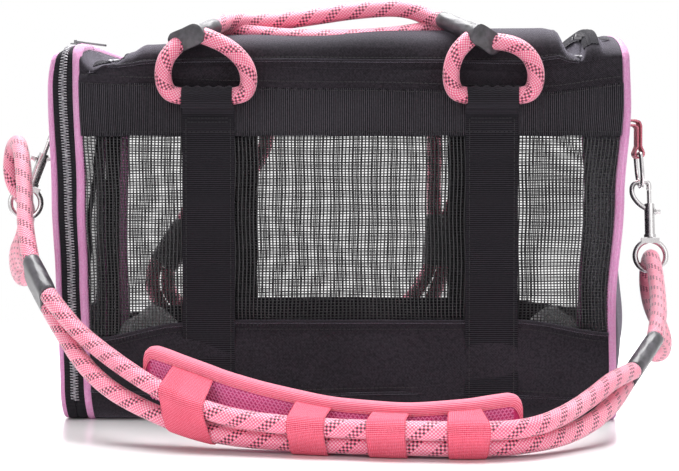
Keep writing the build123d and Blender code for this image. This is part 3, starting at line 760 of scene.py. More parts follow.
def handle_routes():
    y, z, off = -tunnel_y * 1000, tunnel_z * 1000, 151.5
    (l0, l1, a), (r0, r1, b) = front_sleeves["left"], front_sleeves["right"]
    front = {
        "loop_left": [beside(l0, a, -1), (-137, -151, 281), (-142, -151, 268), (-140.5, -150, 254),
                      (-132.5, y, z), (-84, y, z), (-76.5, -150, 253.5), (-76.5, -151.5, 268),
                      (-86, -153, 281), (-102, -154, 290.5), beside(l0, a, 1)],
        "loop_right": [beside(r0, b, 1), (84, -154, 286), (76.5, -152, 272), (76.5, -150, 255),
                       (84, y, z), (132.5, y, z), (140, -150, 254), (141, -151, 268),
                       (134, -151, 281), (119, -149, 289), beside(r0, b, -1)],
        "upper": [beside(l1, a, 1), (-88, -101, 309), (-62, -103, 307.5), (-28, -108, 311.5),
                  (6, -109, 316.5), (42, -107, 319), (64, -108, 309.5), beside(r1, b, 1)],
        "lower": [beside(l1, a, -1), (-99, -99, 303), (-76, -108, 298.5), (-42, -119, 294.5),
                  (-2, -122, 293.8), (38, -115, 297), (66, -104, 303), beside(r1, b, -1)],
    }
    (l0, l1, a), (r0, r1, b) = rear_sleeves["left"], rear_sleeves["right"]
    near = -y
    rear = {
        "loop_left": [beside(l0, a, -1), (-147, off, 166), (-140, off, 192), (-141, off, 222),
                      (-134, near, z), (-84, near, z), (-77, off, 229), (-86, off, 203), (-108, off, 177),
                      (-133, off, 157), beside(l0, a, 1)],
        "loop_right": [beside(r0, b, -1), (75, off, 176), (76, off, 206), (75, off, 231), (84, near, z),
                       (132, near, z), (140, off, 229), (134, off, 204), (113, off, 182), (93, off, 169),
                       beside(r0, b, 1)],
        "outer": [beside(l1, a, -1), (-188, off, 95), (-181, off, 70), (-158, off, 47), (-118, off, 33),
                  (-62, off, 27), (-4, off, 31), (42, off, 44), (74, off, 68), beside(r1, b, 1)],
        "inner": [beside(l1, a, 1), (-173, off, 89), (-166, off, 74), (-148, off, 60), (-114, off, 49),
                  (-62, off, 43), (-4, off, 47), (36, off, 61), (62, off, 82), beside(r1, b, -1)],
    }
    return {"front": front, "rear": rear}


s0, s1, sa = strap_sleeves["left"]
q0, q1, qa = strap_sleeves["right"]
strap_routes = {
    "loop_left": [beside(s0, sa, -1), (-249, -140, 146), (-255, -106, 171), (-262, -78, 199),
                  (-271, -50, 218), (-281, -29, 209), (-282, -27, 184), (-274, -8, 167), (-275, 14, 158),
                  (-280, 14, 136), (-279, -16, 127), (-271, -60, 118), (-260, -105, 111),
                  (-249, -142, 108), beside(s0, sa, 1)],
    "loop_right": [beside(q0, qa, -1), (237, -132, 79), (243, -92, 88), (248, -54, 101), (250, -26, 116),
                   (250, -9, 122.5), (250, 9, 112), (250, 11, 94), (250, -14, 78), (250, -60, 66),
                   (246, -105, 57), (236, -145, 50), beside(q0, qa, 1)],
    "strand_upper": [beside(s1, sa, -1), (-203, -212, 80), (-181, -232, 65), (-155, -261.5, 51.7),
                     (-128.5, -286, 39.5), (-96.5, -303, 28), (-63, -313.7, 21.9), (-15.5, -324.9, 19.4),
                     (37, -335.9, 19.4), (88, -339.9, 19.4), (121, -326.5, 19.5), (147.5, -295, 24.5),
                     (173, -258, 34.5), (189, -234, 43),
                     beside(q1, qa, -1)],
    "strand_lower": [beside(s1, sa, 1), (-206, -207, 68), (-189, -232, 51), (-168, -256, 37),
                     (-144, -273.5, 26.8), (-114, -289, 16.4), (-79, -301.5, 9.8), (-39.5, -310.5, 8.1),
                     (5.5, -322.5, 8.1), (50, -330.5, 8.1), (91, -333, 8.1), (124.5, -316.5, 8.1),
                     (154, -289, 11.4), (184, -250, 22.5),
                     beside(q1, qa, 1)],
}


def braid(s, angle):
    """Relief of the rope's braided cover."""
    turn = 2 * pi * s / 0.041
    return 1 + 0.016 * np.cos(16 * (angle + turn)) * np.cos(16 * (angle - turn))


def rope_line(points, step=0.0013):
    return resample(nurbs(points), step)


def rope_piece(name, line):
    return tube(name, line, rope_radius * 0.985, rope_mat, around=32, shape=braid)


def rim_in(ring, middle, turn):
    """The ring drawn in towards its middle."""
    return ring + (middle - ring) * turn


def sleeve_piece(name, start, end, across, reach_out=0.0, share=1.0):
    """Shrink sleeve: an oblong tube drawn in round its two strands, with puckered ends."""
    start, end, across = (np.array(v, float) for v in (start, end, across))
    start, end = start / 1000, end / 1000
    axis = (end - start) / np.linalg.norm(end - start)
    start, end = start - axis * reach_out, start + (end - start) * share
    across = across - axis * (across @ axis)
    across /= np.linalg.norm(across)
    other = np.cross(axis, across)
    around, count = 44, 26
    reach = 0.0132 / 2
    wall = rope_radius + 0.0011
    rows = []
    for k in range(count):
        t = k / (count - 1)
        pinch = 1 - 0.07 * math.exp(-min(t, 1 - t) * 16)
        centre = start + (end - start) * t
        row = []
        for j in range(around):
            angle = 2 * pi * j / around
            c, s = math.cos(angle), math.sin(angle)
            waist = 0.0011 * (s * s) ** 3
            flare = math.exp(-7 * t) if reach_out else 0.0
            a = (reach + 0.0032 * flare) * math.tanh(3 * c) + wall * c
            b = (wall + 0.0022 * flare - waist * (1 - abs(c))) * s
            ripple = 1 + 0.012 * math.sin(9 * angle + 5 * t) * math.sin(12 * t + 2)
            row.append(centre + (across * a + other * b) * pinch * ripple)
        rows.append(row)
    points = np.array(rows)
    ends = points[0], points[-1]
    # the ends turn in and close round the ropes
    for turn, depth in ((0.14, 0.0), (0.6, -0.001), (0.999, -0.0014)):
        points = np.concatenate([[rim_in(ends[0], start, turn) + axis * depth], points,
                                 [rim_in(ends[1], end, turn) - axis * depth]], 0)
    n = len(points)
    points = np.concatenate([points, points[:, :1]], 1)
    s = np.linspace(0, np.linalg.norm(end - start), n)
    uv = uv_grid(s, np.linspace(0, 0.07, around + 1))
    obj = link(name, points.reshape(-1, 3), grid_faces(n, around + 1), sleeve_mat, uv)
    weld(obj)
    return obj


# the strap's four ropes are free cords
strap_lines = {name: rope_line(points) for name, points in strap_routes.items()}
for name, line in strap_lines.items():
    obj = rope_piece(f"rope_{name}", line)
    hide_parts(f"strap_{name}")
    if name.startswith("strand"):
        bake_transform(obj)
    else:
        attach(obj, "end_door" if name == "loop_left" else "carrier")

for side, (start, end, across) in strap_sleeves.items():
    body = "end_door" if side == "left" else "carrier"
    obj = sleeve_piece(f"sleeve_strap_{side}", start, end, across)
    place(obj, body, "shrink_sleeve", f"strap_sleeve_{side}")

# ------------------------------------------------------------------ rope handles

# the front handle's left sleeve is shrunk on short, and shows more of the ropes behind it
sleeve_share = {("front", "left"): 0.62}

for side, routes in handle_routes().items():
    body = f"{side}_handle"
    for name, points in routes.items():
        line = rope_line(points)
        if side == "front" and not name.startswith("loop"):
            back = (np.array(front_sleeves["left"][0]) - np.array(front_sleeves["left"][1])) / 1000 * 0.4
            line = np.concatenate([resample(np.array([line[0] + back, line[0]]), 0.0013)[:-1], line])
        obj = rope_piece(f"{side}_handle_{name}", line)
        place(obj, body, "pink_rope")
    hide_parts(f"{side}_handle_rope")
    sleeves = front_sleeves if side == "front" else rear_sleeves
    for end_name, (start, end, across) in sleeves.items():
        out = 0.007 if side == "front" else 0.0
        share = sleeve_share.get((side, end_name), 1)
        obj = sleeve_piece(f"sleeve_{side}_{end_name}", start, end, across, out, share)
        place(obj, body, "shrink_sleeve")
        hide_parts(f"{side}_handle_sleeves")

# ------------------------------------------------------------------ bag walls


def wall_y(side, x, z):
    """Surface of the front (-1) or rear (1) wall: padded cloth that puffs below the windows."""
    puff = 0.0022 * np.sin(np.clip((z - 0.018) / 0.055, 0, 1) * pi)
    ease = np.clip((wall_end - np.abs(x)) / 0.03, 0, 1)
    slack = 0.0012 * np.sin(x * 31 + 1.1 * side) * np.clip((z - 0.08) / 0.1, 0, 1) * ease
    under = np.clip((corner - z) / corner, 0, 1)
    inset = corner * (1 - np.sqrt(1 - under ** 2))
    return side * (half_depth + puff * ease + slack * 0.6 - inset)


def wall_grid(side, x0, x1, low_z, high_z, nx, nz, lift=0.0, bumps=0.0, pitch=0.05, seed=1):
    """Grid on a long wall; low_z and high_z are heights or functions of x."""
    x = np.linspace(x0, x1, nx)[:, None] * np.ones((1, nz))
    t = np.linspace(0, 1, nz)[None, :]
    lo = low_z(x) if callable(low_z) else low_z
    hi = high_z(x) if callable(high_z) else high_z
    z = lo + (hi - lo) * t
    y = wall_y(side, x, z) + side * lift
    points = np.stack([x, y, z], -1)
    if bumps:
        fade = np.clip(np.minimum(t, 1 - t) * 6, 0, 1) * np.clip((wall_end - np.abs(x)) / 0.02, 0, 1)
        points[..., 1] += side * bumps * crumple(points * np.array([1, 1, 1.6]), pitch, seed) * fade
    return points


def on_wall(side, xs, zs, lift=0.0):
    xs, zs = np.asarray(xs, float) * np.ones(len(zs)), np.asarray(zs, float)
    line = np.stack([xs, wall_y(side, xs, zs) + side * lift, zs], -1)
    return line, np.tile([0.0, float(side), 0.0], (len(line), 1))


def wall_stitches(name, side, xs, zs, lift):
    line, normal = on_wall(side, xs, zs, lift)
    stitches(name, line, normal, thread_black, "carrier")


upright_pitch, upright_radius = 0.00293, 0.00052
level_pitch, level_radius = 0.0022, 0.00038

for side, word in ((-1, "front"), (1, "rear")):
    flip = side > 0
    # lower panel, from the underside's edge round the corner and up to the windows
    panel = wall_grid(side, -wall_end, wall_end, 0.0, window_edge, 150, 46, bumps=0.0011, pitch=0.06,
                      seed=3 + side)
    obj = sheet(f"{word}_lower_cloth", panel, cloth * 0.8, black_cloth, flip)
    place(obj, "carrier", "black_cloth", f"{word}_lower_panel")
    # rolled edge of cloth along the windows' lower edge
    x = np.linspace(-wall_end, wall_end, 160)
    line, _ = on_wall(side, x, window_edge(x) - 0.0005, 0.0004)
    obj = tube(f"{word}_window_roll", resample(line, 0.0025), 0.0016, black_cloth, around=10)
    place(obj, "carrier", "black_cloth")
    wall_stitches(f"{word}_window_stitch", side, x, window_edge(x) - 0.0062, 0.0006)
    # base seam with its stitches
    base_z = table(x, [(-.21, .0225), (-.1, .0185), (.05, .0215), (.21, .0165)])
    line, _ = on_wall(side, x, base_z, 0.0003)
    obj = tube(f"{word}_base_seam", resample(line, 0.003), 0.0011, black_cloth, around=8)
    place(obj, "carrier", "black_cloth")
    wall_stitches(f"{word}_base_stitch", side, x, base_z + 0.0042, 0.0006)

    # window mesh, one net over the whole side: upright and level threads that cross
    parts = []
    for gx in np.arange(-wall_end + upright_pitch / 2, wall_end, upright_pitch):
        z = np.linspace(float(window_edge(gx)) - 0.004, window_top[side] + 0.003, 14)
        xx = gx + 0.0005 * np.sin(z * 90 + gx * 40)
        line, _ = on_wall(side, xx, z, -0.0006)
        parts.append(tube_part(line, upright_radius, around=6))
    for gz in np.arange(0.0615, window_top[side] + 0.003, level_pitch):
        inside = x[window_edge(x) - 0.004 < gz]
        if len(inside) < 4:
            continue
        runs = np.split(inside, np.where(np.diff(inside) > 0.004)[0] + 1)
        for run in runs:
            if len(run) < 3:
                continue
            xx = np.linspace(run[0], run[-1], 60)
            line, _ = on_wall(side, xx, gz + 0.0004 * np.sin(xx * 55 + gz * 90), -0.0008)
            parts.append(tube_part(line, level_radius, around=6))
    place(joined(f"{word}_window_net", parts, wire), "carrier", "black_mesh", f"{word}_mesh")

    # ribbed band above the windows
    ribs = int(2 * wall_end / 0.0019)
    nx = ribs * 4 + 1
    band = wall_grid(side, -wall_end, wall_end, window_top[side] - 0.001, band_top, nx, 14, lift=0.0008)
    phase = np.linspace(0, ribs * 2 * pi, nx)[:, None]
    band[..., 1] += side * 0.00035 * np.cos(phase)
    obj = sheet(f"{word}_band", band, cloth * 0.6, ribbed_band, flip)
    place(obj, "carrier", "ribbed_webbing", f"{word}_ribbed_band")
    wall_stitches(f"{word}_band_stitch", side, x, band_top(x) - 0.002, 0.0015)
    wall_stitches(f"{word}_band_low_stitch", side, x, x * 0 + window_top[side] + 0.002, 0.0015)

    # shoulder strip up to the flap's seam
    nz = 14
    shoulder = wall_grid(side, -wall_end, wall_end, lambda v: band_top(v) - 0.003,
                         lambda v: seam(v) + 0.0006, 150, nz, bumps=0.0006, pitch=0.05, seed=9)
    t = np.linspace(0, 1, nz)[None, :]
    shoulder[..., 1] += side * (0.0012 * np.sin(t * pi) + 0.0002)
    obj = sheet(f"{word}_shoulder_cloth", shoulder, cloth * 0.7, black_cloth, flip)
    place(obj, "carrier", "black_cloth", f"{word}_shoulder")
    wall_stitches(f"{word}_shoulder_stitch", side, x, band_top(x) + 0.0045, 0.0018)

# underside
n = 40
gx, gy = np.meshgrid(np.linspace(-wall_end, wall_end, n),
                     np.linspace(-half_depth + corner, half_depth - corner, n), indexing="ij")
under = np.stack([gx, gy, np.full_like(gx, 0.0)], -1)
obj = sheet("underside_cloth", under, -cloth, black_cloth)
place(obj, "carrier", "black_cloth", "bottom_panel")

# ------------------------------------------------------------------ webbing straps with their rope tunnels


def strap_profile(side):
    """(y, z) run of the webbing: up the wall, round the rope and back to the wall."""
    radius = rope_radius + 0.0017
    foot = [(half_depth + 0.0022, z) for z in np.linspace(0.012, tunnel_z - radius - 0.004, 130)]
    angles = np.radians(np.linspace(-112, 205, 44))
    loop = [(tunnel_y + radius * math.cos(a), tunnel_z + radius * math.sin(a)) for a in angles]
    back = [(half_depth + 0.0012, tunnel_z - 0.002), (half_depth + 0.0008, tunnel_z - 0.012)]
    run = np.array(foot + loop + back)
    at = np.arange(0, lengths(run)[-1], 0.0004)
    y, z = read_run(run, at).T
    kernel = np.ones(7) / 7
    y, z = (np.r_[run[:3], np.convolve(run, kernel, "valid"), run[-3:]] for run in (y, z))
    return side * y, z, at


for side, word in ((-1, "front"), (1, "rear")):
    for hand, centre in (("left", -strap_x), ("right", strap_x)):
        y, z, s = strap_profile(side)
        across = np.linspace(-strap_half, strap_half, 26)
        width_now = np.where(z > tunnel_z - 0.006, 0.96, 1.0)[None, :]
        px = centre + across[:, None] * width_now
        rib = 0.00016 * np.sin(s * 2 * pi / 0.0016)
        edge = 1 - np.abs(across / strap_half) ** 8
        gather = 0.0007 * np.sin(across[:, None] * 2 * pi / 0.0085 + 0.8 * centre * 60)
        gather = gather * np.exp(-((z[None, :] - tunnel_z - 0.008) / 0.006) ** 2)
        py = y[None, :] + side * (rib[None, :] * edge[:, None])
        pz = z[None, :] + gather
        points = np.stack([px, py * np.ones_like(px), pz * np.ones_like(px)], -1)
        obj = sheet(f"{word}_webbing_{hand}", points, 0.0013, strap_webbing, side > 0)
        place(obj, "carrier", "ribbed_webbing", f"{word}_strap_{hand}")
        # stitched edges and the cross rows that close the tunnel
        zs = np.linspace(0.016, tunnel_z - 0.016, 60)
        for k, off in enumerate((-strap_half + 0.003, strap_half - 0.003)):
            line = np.stack([np.full(60, centre + off), np.full(60, side * (half_depth + 0.0024)), zs], -1)
            stitches(f"{word}_{hand}_edge_stitch_{k}", line, np.tile([0.0, side, 0.0], (60, 1)), thread_black,
                     "carrier")
        for k, dz in enumerate((0.0155, 0.0185)):
            xx = np.linspace(centre - strap_half + 0.003, centre + strap_half - 0.003, 20)
            line = np.stack([xx, np.full(20, side * (half_depth + 0.0024)), np.full(20, tunnel_z - dz)], -1)
            stitches(f"{word}_{hand}_tunnel_stitch_{k}", line, np.tile([0.0, side, 0.0], (20, 1)),
                     thread_black, "carrier", pitch=0.0026, size=0.0019)

# ------------------------------------------------------------------ top: end strips and flap


def top_grid(x0, x1, nx, na, a0=0.0, a1=pi, lift=0.0, bumps=0.0, pitch=0.05, seed=5):
    x = np.linspace(x0, x1, nx)[:, None] * np.ones((1, na))
    # more rows near the two long edges, where the section turns
    t = np.linspace(-1, 1, na)[None, :] * np.ones((nx, 1))
    t = np.sign(t) * (1 - (1 - np.abs(t)) ** 1.7)
    angle = (a0 + a1) / 2 + t * (a1 - a0) / 2
    y, z = dome(x, angle)
    points = np.stack([x, y, z], -1)
    normal = grid_normals(points)
    amount = np.full_like(z, lift)
    if bumps:
        fade = np.clip(np.sin(angle) * 4, 0, 1)
        amount = amount + bumps * crumple(points, pitch, seed) * fade
    return points + normal * amount[..., None]


flap = top_grid(flap_left, flap_right - 0.001, 190, 130, bumps=0.0011, pitch=0.085)
obj = sheet("top_flap_cloth", flap, cloth, black_cloth)
place(obj, "top_flap", "black_cloth", "top_flap_panel")
# rolled seam along the flap's front edge and its topstitching
x = np.linspace(flap_left, flap_right - 0.002, 150)
y, z = dome(x, np.full_like(x, 0.05))
line = resample(np.stack([x, y - 0.0004, z], -1), 0.003)
obj = tube("flap_front_roll", line, 0.0013, black_cloth, around=10)
place(obj, "top_flap", "black_cloth")


def dome_line(x, angle, lift):
    y, z = dome(x, angle)
    y2, z2 = dome(x, angle + 0.01)
    normal = np.stack([np.zeros_like(x), -(z2 - z), (y2 - y)], -1)
    normal /= np.linalg.norm(normal, axis=1, keepdims=True)
    return np.stack([x, y, z], -1) + normal * lift, normal


for k, angle in enumerate((0.085, pi - 0.085)):
    line, normal = dome_line(x, np.full_like(x, angle), 0.0012)
    stitches(f"flap_long_stitch_{k}", line, normal, thread_black, "top_flap")

for word, x0, x1, seed in (("left", -wall_end, flap_left - 0.0006, 2),
                           ("right", flap_right + 0.0002, wall_end, 8)):
    strip = top_grid(x0, x1, 60, 110, bumps=0.0004, pitch=0.04, seed=seed)
    obj = sheet(f"top_strip_{word}_cloth", strip, cloth * 0.9, black_cloth)
    place(obj, "carrier", "black_cloth", f"top_end_strip_{word}")

# ------------------------------------------------------------------ piping at the three end seams


def leaned(points):
    """The door end leans in at its top: everything outside the inner piping draws closer to it."""
    points = points.copy()
    rise = np.clip((points[..., 2] - 0.255) / 0.036, 0, 1) ** 2
    outside = np.minimum(points[..., 0] - left_end, 0)
    points[..., 0] -= 0.40 * rise * outside
    return points


def end_section(x, grow=0.0, count=420):
    """Closed run round the bag at x: (y, z) of the outline, from the front foot upwards."""
    top = np.linspace(0.0, pi, 150)
    ty, tz = dome(np.full_like(top, x), top)
    foot = np.radians(np.linspace(180, 270, 14))
    front = [(-half_depth + corner + corner * math.cos(a), corner + corner * math.sin(a)) for a in foot][::-1]
    up = [(-half_depth, z) for z in np.linspace(corner + 0.004, float(seam(x)) - 0.004, 60)]
    down = [(half_depth, z) for z in np.linspace(float(seam(x)) - 0.004, corner + 0.004, 60)]
    rear = [(-p[0], p[1]) for p in front[::-1]]
    base = [(y, 0.0) for y in np.linspace(half_depth - corner - 0.006, -half_depth + corner + 0.006, 50)]
    run = np.array(front + up + list(zip(ty, tz)) + down + rear + base)
    if grow:
        t = np.roll(run, -1, 0) - np.roll(run, 1, 0)
        t /= np.linalg.norm(t, axis=1, keepdims=True)
        run = run + np.stack([-t[:, 1], t[:, 0]], -1) * grow
    return close_run(run, count)


def piping(name, x, body, *nodes, radius=piping_radius):
    inset = end_section(x, -piping_radius)
    # a real piped seam leans a little in and out along its run
    sway = 0.0010 * np.sin(inset[:, 1] * 22 + x * 50)
    line = np.stack([x + sway, inset[:, 0], inset[:, 1]], -1)
    obj = tube(name, leaned(line), radius, orchid_piping, around=16, closed=True)
    place(obj, body, "orchid_piping", *nodes)


piping("piping_right", right_end, "carrier", "right_piping", radius=piping_radius * 1.15)
piping("piping_left", left_end, "carrier", "left_piping", radius=piping_radius * 1.25)
piping("piping_door", door_x, "end_door", "door_piping", radius=piping_radius * 0.85)


def end_panel_points(x, bulge, direction, rows=34, seed=4, crush=0.0008):
    """Padded panel that fills an end section and bulges out along X."""
    rim = end_section(x, -2 * piping_radius + 0.0015, 220)
    middle = np.array([0.0, 0.148])
    rings = []
    for k in range(rows):
        t = k / (rows - 1)
        ring = middle + (rim - middle) * (1 - t * 0.985)
        out = bulge * (1 - (1 - t) ** 5) ** 0.5
        low_belly = 1 + 1.1 * np.exp(-((ring[:, 1] - 0.075) / 0.04) ** 2)
        rings.append(np.c_[x + direction * out * low_belly, ring])
    points = np.array(rings)
    fade = np.linspace(0, 1, rows)[:, None].clip(0, 0.3) / 0.3
    points[..., 0] += direction * crush * crumple(points, 0.07, seed) * fade
    return points


def end_panel(name, x, bulge, direction, body, mat, *nodes):
    outer = end_panel_points(x, bulge, direction)
    inner = end_panel_points(x - direction * cloth, bulge, direction)
    n, m, _ = outer.shape
    verts = np.r_[outer.reshape(-1, 3), inner.reshape(-1, 3)]
    faces = grid_faces(n, m, 0, wrap=True).tolist() + grid_faces(n, m, n * m, flip=True, wrap=True).tolist()
    for j in range(m):
        k = (j + 1) % m
        faces.append([j, k, n * m + k, n * m + j])
    for base, order in (((n - 1) * m, 1), (n * m + (n - 1) * m, -1)):
        cap = [base + j for j in range(m)]
        faces.append(cap if order > 0 else cap[::-1])
    uv = verts[:, 1:3]
    obj = link(name, verts, faces, mat, uv)
    weld(obj)
    place(obj, body, "black_cloth", *nodes)


end_panel("right_end_cloth", right_end, 0.0055, 1, "carrier", black_cloth, "right_end_panel")

# ------------------------------------------------------------------ zipped door end


def hoop_grid(x0, x1, nx, outset=0.0, count=520):
    rows = []
    for x in np.linspace(x0, x1, nx):
        run = end_section(x, outset, count)
        rows.append(np.c_[np.full(count, x), run])
    return np.array(rows)


def hoop(name, x0, x1, mat, body, slot_name, nodes=(), outset=-0.0006, thickness=0.0012, crown=0.0, nx=10):
    """Closed strip round the door end."""
    outer = hoop_grid(x0, x1, nx, outset)
    t = np.linspace(-1, 1, nx)[:, None]
    n, m, _ = outer.shape
    normal = np.cross(np.roll(outer, -1, 1) - np.roll(outer, 1, 1), np.array([1.0, 0, 0]))
    normal /= np.linalg.norm(normal, axis=2, keepdims=True)
    out = np.sign(np.sum(normal[0] * (outer[0] - np.array([x0, 0, 0.145])), 1).mean())
    normal *= out
    outer = outer + normal * (crown * (1 - t ** 2))[..., None]
    inner = outer - normal * thickness
    verts, faces = hoop_skin(outer, inner)
    s = np.linspace(0, 1.1, m)
    uv = uv_grid(np.linspace(0, x1 - x0, n), s)
    obj = link(name, leaned(verts), faces, mat, np.r_[uv, uv])
    weld(obj)
    place(obj, body, slot_name, *nodes)


edge_room = 0.00015
hoop("gusset_inner", zip_middle + edge_room, left_end - piping_radius * 0.6, zip_tape, "carrier",
     "black_webbing", ["door_zip_tape_inner"], crown=0.0006)
hoop("gusset_outer", door_x + piping_radius * 0.6, zip_middle - edge_room, zip_tape, "end_door",
     "black_webbing", ["door_zip_tape_outer"], crown=0.0006)


def coil_teeth(name, x, direction, body, node, span=0.0030):
    """One half of a coil zip along the end section: a loop of plastic for every tooth."""
    run = end_section(x, 0.0002, 3000)
    closed = np.r_[run, run[:1]]
    pitch = 0.0021
    parts = []
    start = pitch / 2 if direction > 0 else 0.0
    for at in np.arange(start, lengths(closed)[-1], pitch):
        y, z = read_run(closed, at)
        if z < 0.015:
            continue
        y1, z1 = read_run(closed, at + 0.001)
        t = np.array([0, y1 - y, z1 - z])
        t /= np.linalg.norm(t)
        normal = np.cross(t, [1.0, 0, 0])
        if normal @ np.array([0, y, z - 0.145]) < 0:
            normal = -normal
        centre = np.array([x, y, z])
        offsets = [(-0.0004, 0.0002), (0.3, 0.0011), (0.75, 0.0013), (1.0, 0.0007), (1.05, 0.0001)]
        line = np.array([centre + np.array([direction * (a * span if a > 0 else a), 0, 0]) + normal * b
                         for a, b in offsets])
        parts.append(tube_part(line, 0.00058, around=6))
    verts, faces, uv = merge(parts)
    obj = link(name, leaned(verts), faces, pale_coil_painted_glint, uv)
    place(obj, body, "zip_plastic", node)


coil_teeth("door_teeth_inner", zip_middle - 0.0004, 1, "carrier", "door_zip_coil_inner")
coil_teeth("door_teeth_outer", zip_middle + 0.0004, -1, "end_door", "door_zip_coil_outer")

# door panel: a padded cloth frame round a mesh window
door_face = low("door_panel")[0] + 0.00125
window_low, window_high, window_half = 0.075, 0.229, 0.112
window_middle, window_rise = 0.152, 0.077


def window_rim(count, radius=0.016):
    """Closed run on the door window's outline."""
    w, h0, h1 = window_half, window_low, window_high
    points = []
    for cy, cz, a0 in ((w - radius, h1 - radius, 0), (-w + radius, h1 - radius, 90),
                       (-w + radius, h0 + radius, 180), (w - radius, h0 + radius, 270)):
        for a in np.radians(np.linspace(a0, a0 + 90, 12)):
            points.append((cy + radius * math.cos(a), cz + radius * math.sin(a)))
    return close_run(np.array(points), count)


count = 260


def by_angle(run):
    """The run, started and ordered by angle about the window's middle."""
    angle = np.arctan2(run[:, 1] - window_middle, run[:, 0])
    order = np.argsort(angle)
    return run[order], angle[order]


outer_sorted, outer_angle = by_angle(end_section(door_x, -2 * piping_radius + 0.0015, 1400))
hole_sorted, hole_angle = by_angle(window_rim(1400))
angles = np.linspace(-pi, pi, count + 1)[:-1]


def at_angles(run, angle):
    wrapped = np.r_[angle - 2 * pi, angle, angle + 2 * pi]
    tripled = np.r_[run, run, run]
    return np.stack([np.interp(angles, wrapped, tripled[:, k]) for k in (0, 1)], -1)


outer_ring, hole_ring = at_angles(outer_sorted, outer_angle), at_angles(hole_sorted, hole_angle)
rows = 20
rings = []
for k in range(rows):
    t = k / (rows - 1)
    ring = outer_ring * (1 - t) + hole_ring * t
    puff = 0.0034 * math.sin(min(t * 1.1, 1) * pi) ** 0.6 if 0 < t < 1 else 0.0
    rings.append(np.c_[np.full(count, door_face - 0.0006 - puff), ring])
door_front = np.array(rings)
fade = np.sin(np.linspace(0, 1, rows) * pi)[:, None]
door_front[..., 0] -= 0.0006 * crumple(door_front, 0.045, 6) * fade
door_back = door_front.copy()
door_back[..., 0] = door_face + 0.0012
verts, faces = hoop_skin(door_front, door_back)
obj = link("door_cloth", leaned(verts), faces, black_cloth, verts[:, 1:3])
weld(obj)
place(obj, "end_door", "black_cloth", "door_panel")
rim = window_rim(300)
line = np.c_[np.full(300, door_face - 0.0012), rim]
obj = tube("door_window_roll", line, 0.0017, black_cloth, around=10, closed=True)
place(obj, "end_door", "black_cloth")
stitch_out = 0.006
line = np.c_[np.full(300, door_face - 0.0036), rim[:, 0] * (1 + stitch_out / window_half),
             (rim[:, 1] - window_middle) * (1 + stitch_out / window_rise) + window_middle]
stitches("door_window_stitch", np.r_[line, line[:1]], np.tile([-1.0, 0, 0], (301, 1)), thread_black,
         "end_door")

# door net, of finer thread, as it is seen nearly edge on
parts = []
net_x = door_face + 0.0016
for gy in np.arange(-window_half - 0.004, window_half + 0.005, 0.003):
    line = np.stack([np.full(12, net_x) - 0.0006 * np.cos(gy * 14),
                     gy + 0.0004 * np.sin(np.linspace(0, 9, 12)),
                     np.linspace(window_low - 0.005, window_high + 0.005, 12)], -1)
    parts.append(ribbon_part(line, np.tile([-1.0, 0, 0], (12, 1)), 0.0007, 0.00016))
for gz in np.arange(window_low - 0.004, window_high + 0.005, 0.0028):
    yy = np.linspace(-window_half - 0.005, window_half + 0.005, 40)
    line = np.stack([np.full(40, net_x + 0.0002) - 0.0006 * np.cos(yy * 14), yy,
                     gz + 0.0004 * np.sin(yy * 60)], -1)
    parts.append(ribbon_part(line, np.tile([-1.0, 0, 0], (40, 1)), 0.0007, 0.00016))
place(joined("door_net", parts, wire, smooth=False), "end_door", "black_mesh", "door_mesh")

# ------------------------------------------------------------------ top zip


def coil_on_top(name, lines, body, node, direction):
    """Coil teeth along lines on the bag; each line comes with its surface normals and side direction."""
    parts = []
    pitch = 0.0017
    for line, normal, aside in lines:
        first = pitch / 2 * (1 if direction > 0 else 2)
        for at in np.arange(first, lengths(line)[-1] - pitch / 2, pitch):
            centre, up, out = (read_run(line, at, values) for values in (line, normal, aside))
            run = [centre - out * 0.0003 + up * 0.0001, centre + out * 0.0008 + up * 0.0012,
                   centre + out * 0.0018 + up * 0.0013, centre + out * 0.0026 + up * 0.0006]
            parts.append(tube_part(np.array(run), 0.0005, around=6))
    place(joined(name, parts, pale_coil_painted_glint), body, "zip_plastic", node)


def side_zip(x, out):
    """Zip run across the bag at x, from the front corner to the rear one."""
    angle = np.linspace(0.42, pi - 0.42, 90)
    xx = np.full_like(angle, x)
    line, normal = dome_line(xx, angle, 0.0006)
    return line, normal, np.tile([out, 0.0, 0.0], (len(line), 1))


def rear_zip(dz):
    xx = np.linspace(flap_left + 0.004, flap_right - 0.004, 150)
    line = np.stack([xx, np.full_like(xx, half_depth + 0.0006), seam(xx) + np.sign(dz) * 0.0004], -1)
    return line, np.tile([0, 1.0, 0], (150, 1)), np.tile([0, 0, float(np.sign(dz))], (150, 1))


gap = 0.0003
fixed_runs = [side_zip(flap_left - gap, -1.0), side_zip(flap_right + gap, 1.0), rear_zip(-1)]
coil_on_top("top_teeth_fixed", fixed_runs, "carrier", "top_zip_coil_fixed", 1)
flap_runs = [side_zip(flap_left + gap, 1.0), side_zip(flap_right - gap, -1.0), rear_zip(1)]
coil_on_top("top_teeth_flap", flap_runs, "top_flap", "top_zip_coil_flap", -1)


def top_tape(name, x0, x1, body, ridges=4, a0=0.38, a1=pi - 0.38):
    """Ribbed zip tape laid over the top beside the coil."""
    nx = ridges * 6 + 1
    points = top_grid(x0, x1, nx, 90, a0, a1, lift=0.0009)
    normal = grid_normals(points)
    ridge = 0.0004 * np.cos(np.linspace(0, ridges * 2 * pi, nx))[:, None, None]
    obj = sheet(name, points + normal * ridge, 0.0009, zip_tape)
    place(obj, body, "black_webbing")


top_tape("tape_right_fixed", flap_right + 0.0032, flap_right + 0.0135, "carrier")
top_tape("tape_left_fixed", flap_left - 0.0135, flap_left - 0.0032, "carrier")
top_tape("tape_left_flap", flap_left + 0.0032, flap_left + 0.0105, "top_flap", 3)

# ------------------------------------------------------------------ shoulder pad, binding and elastic bands

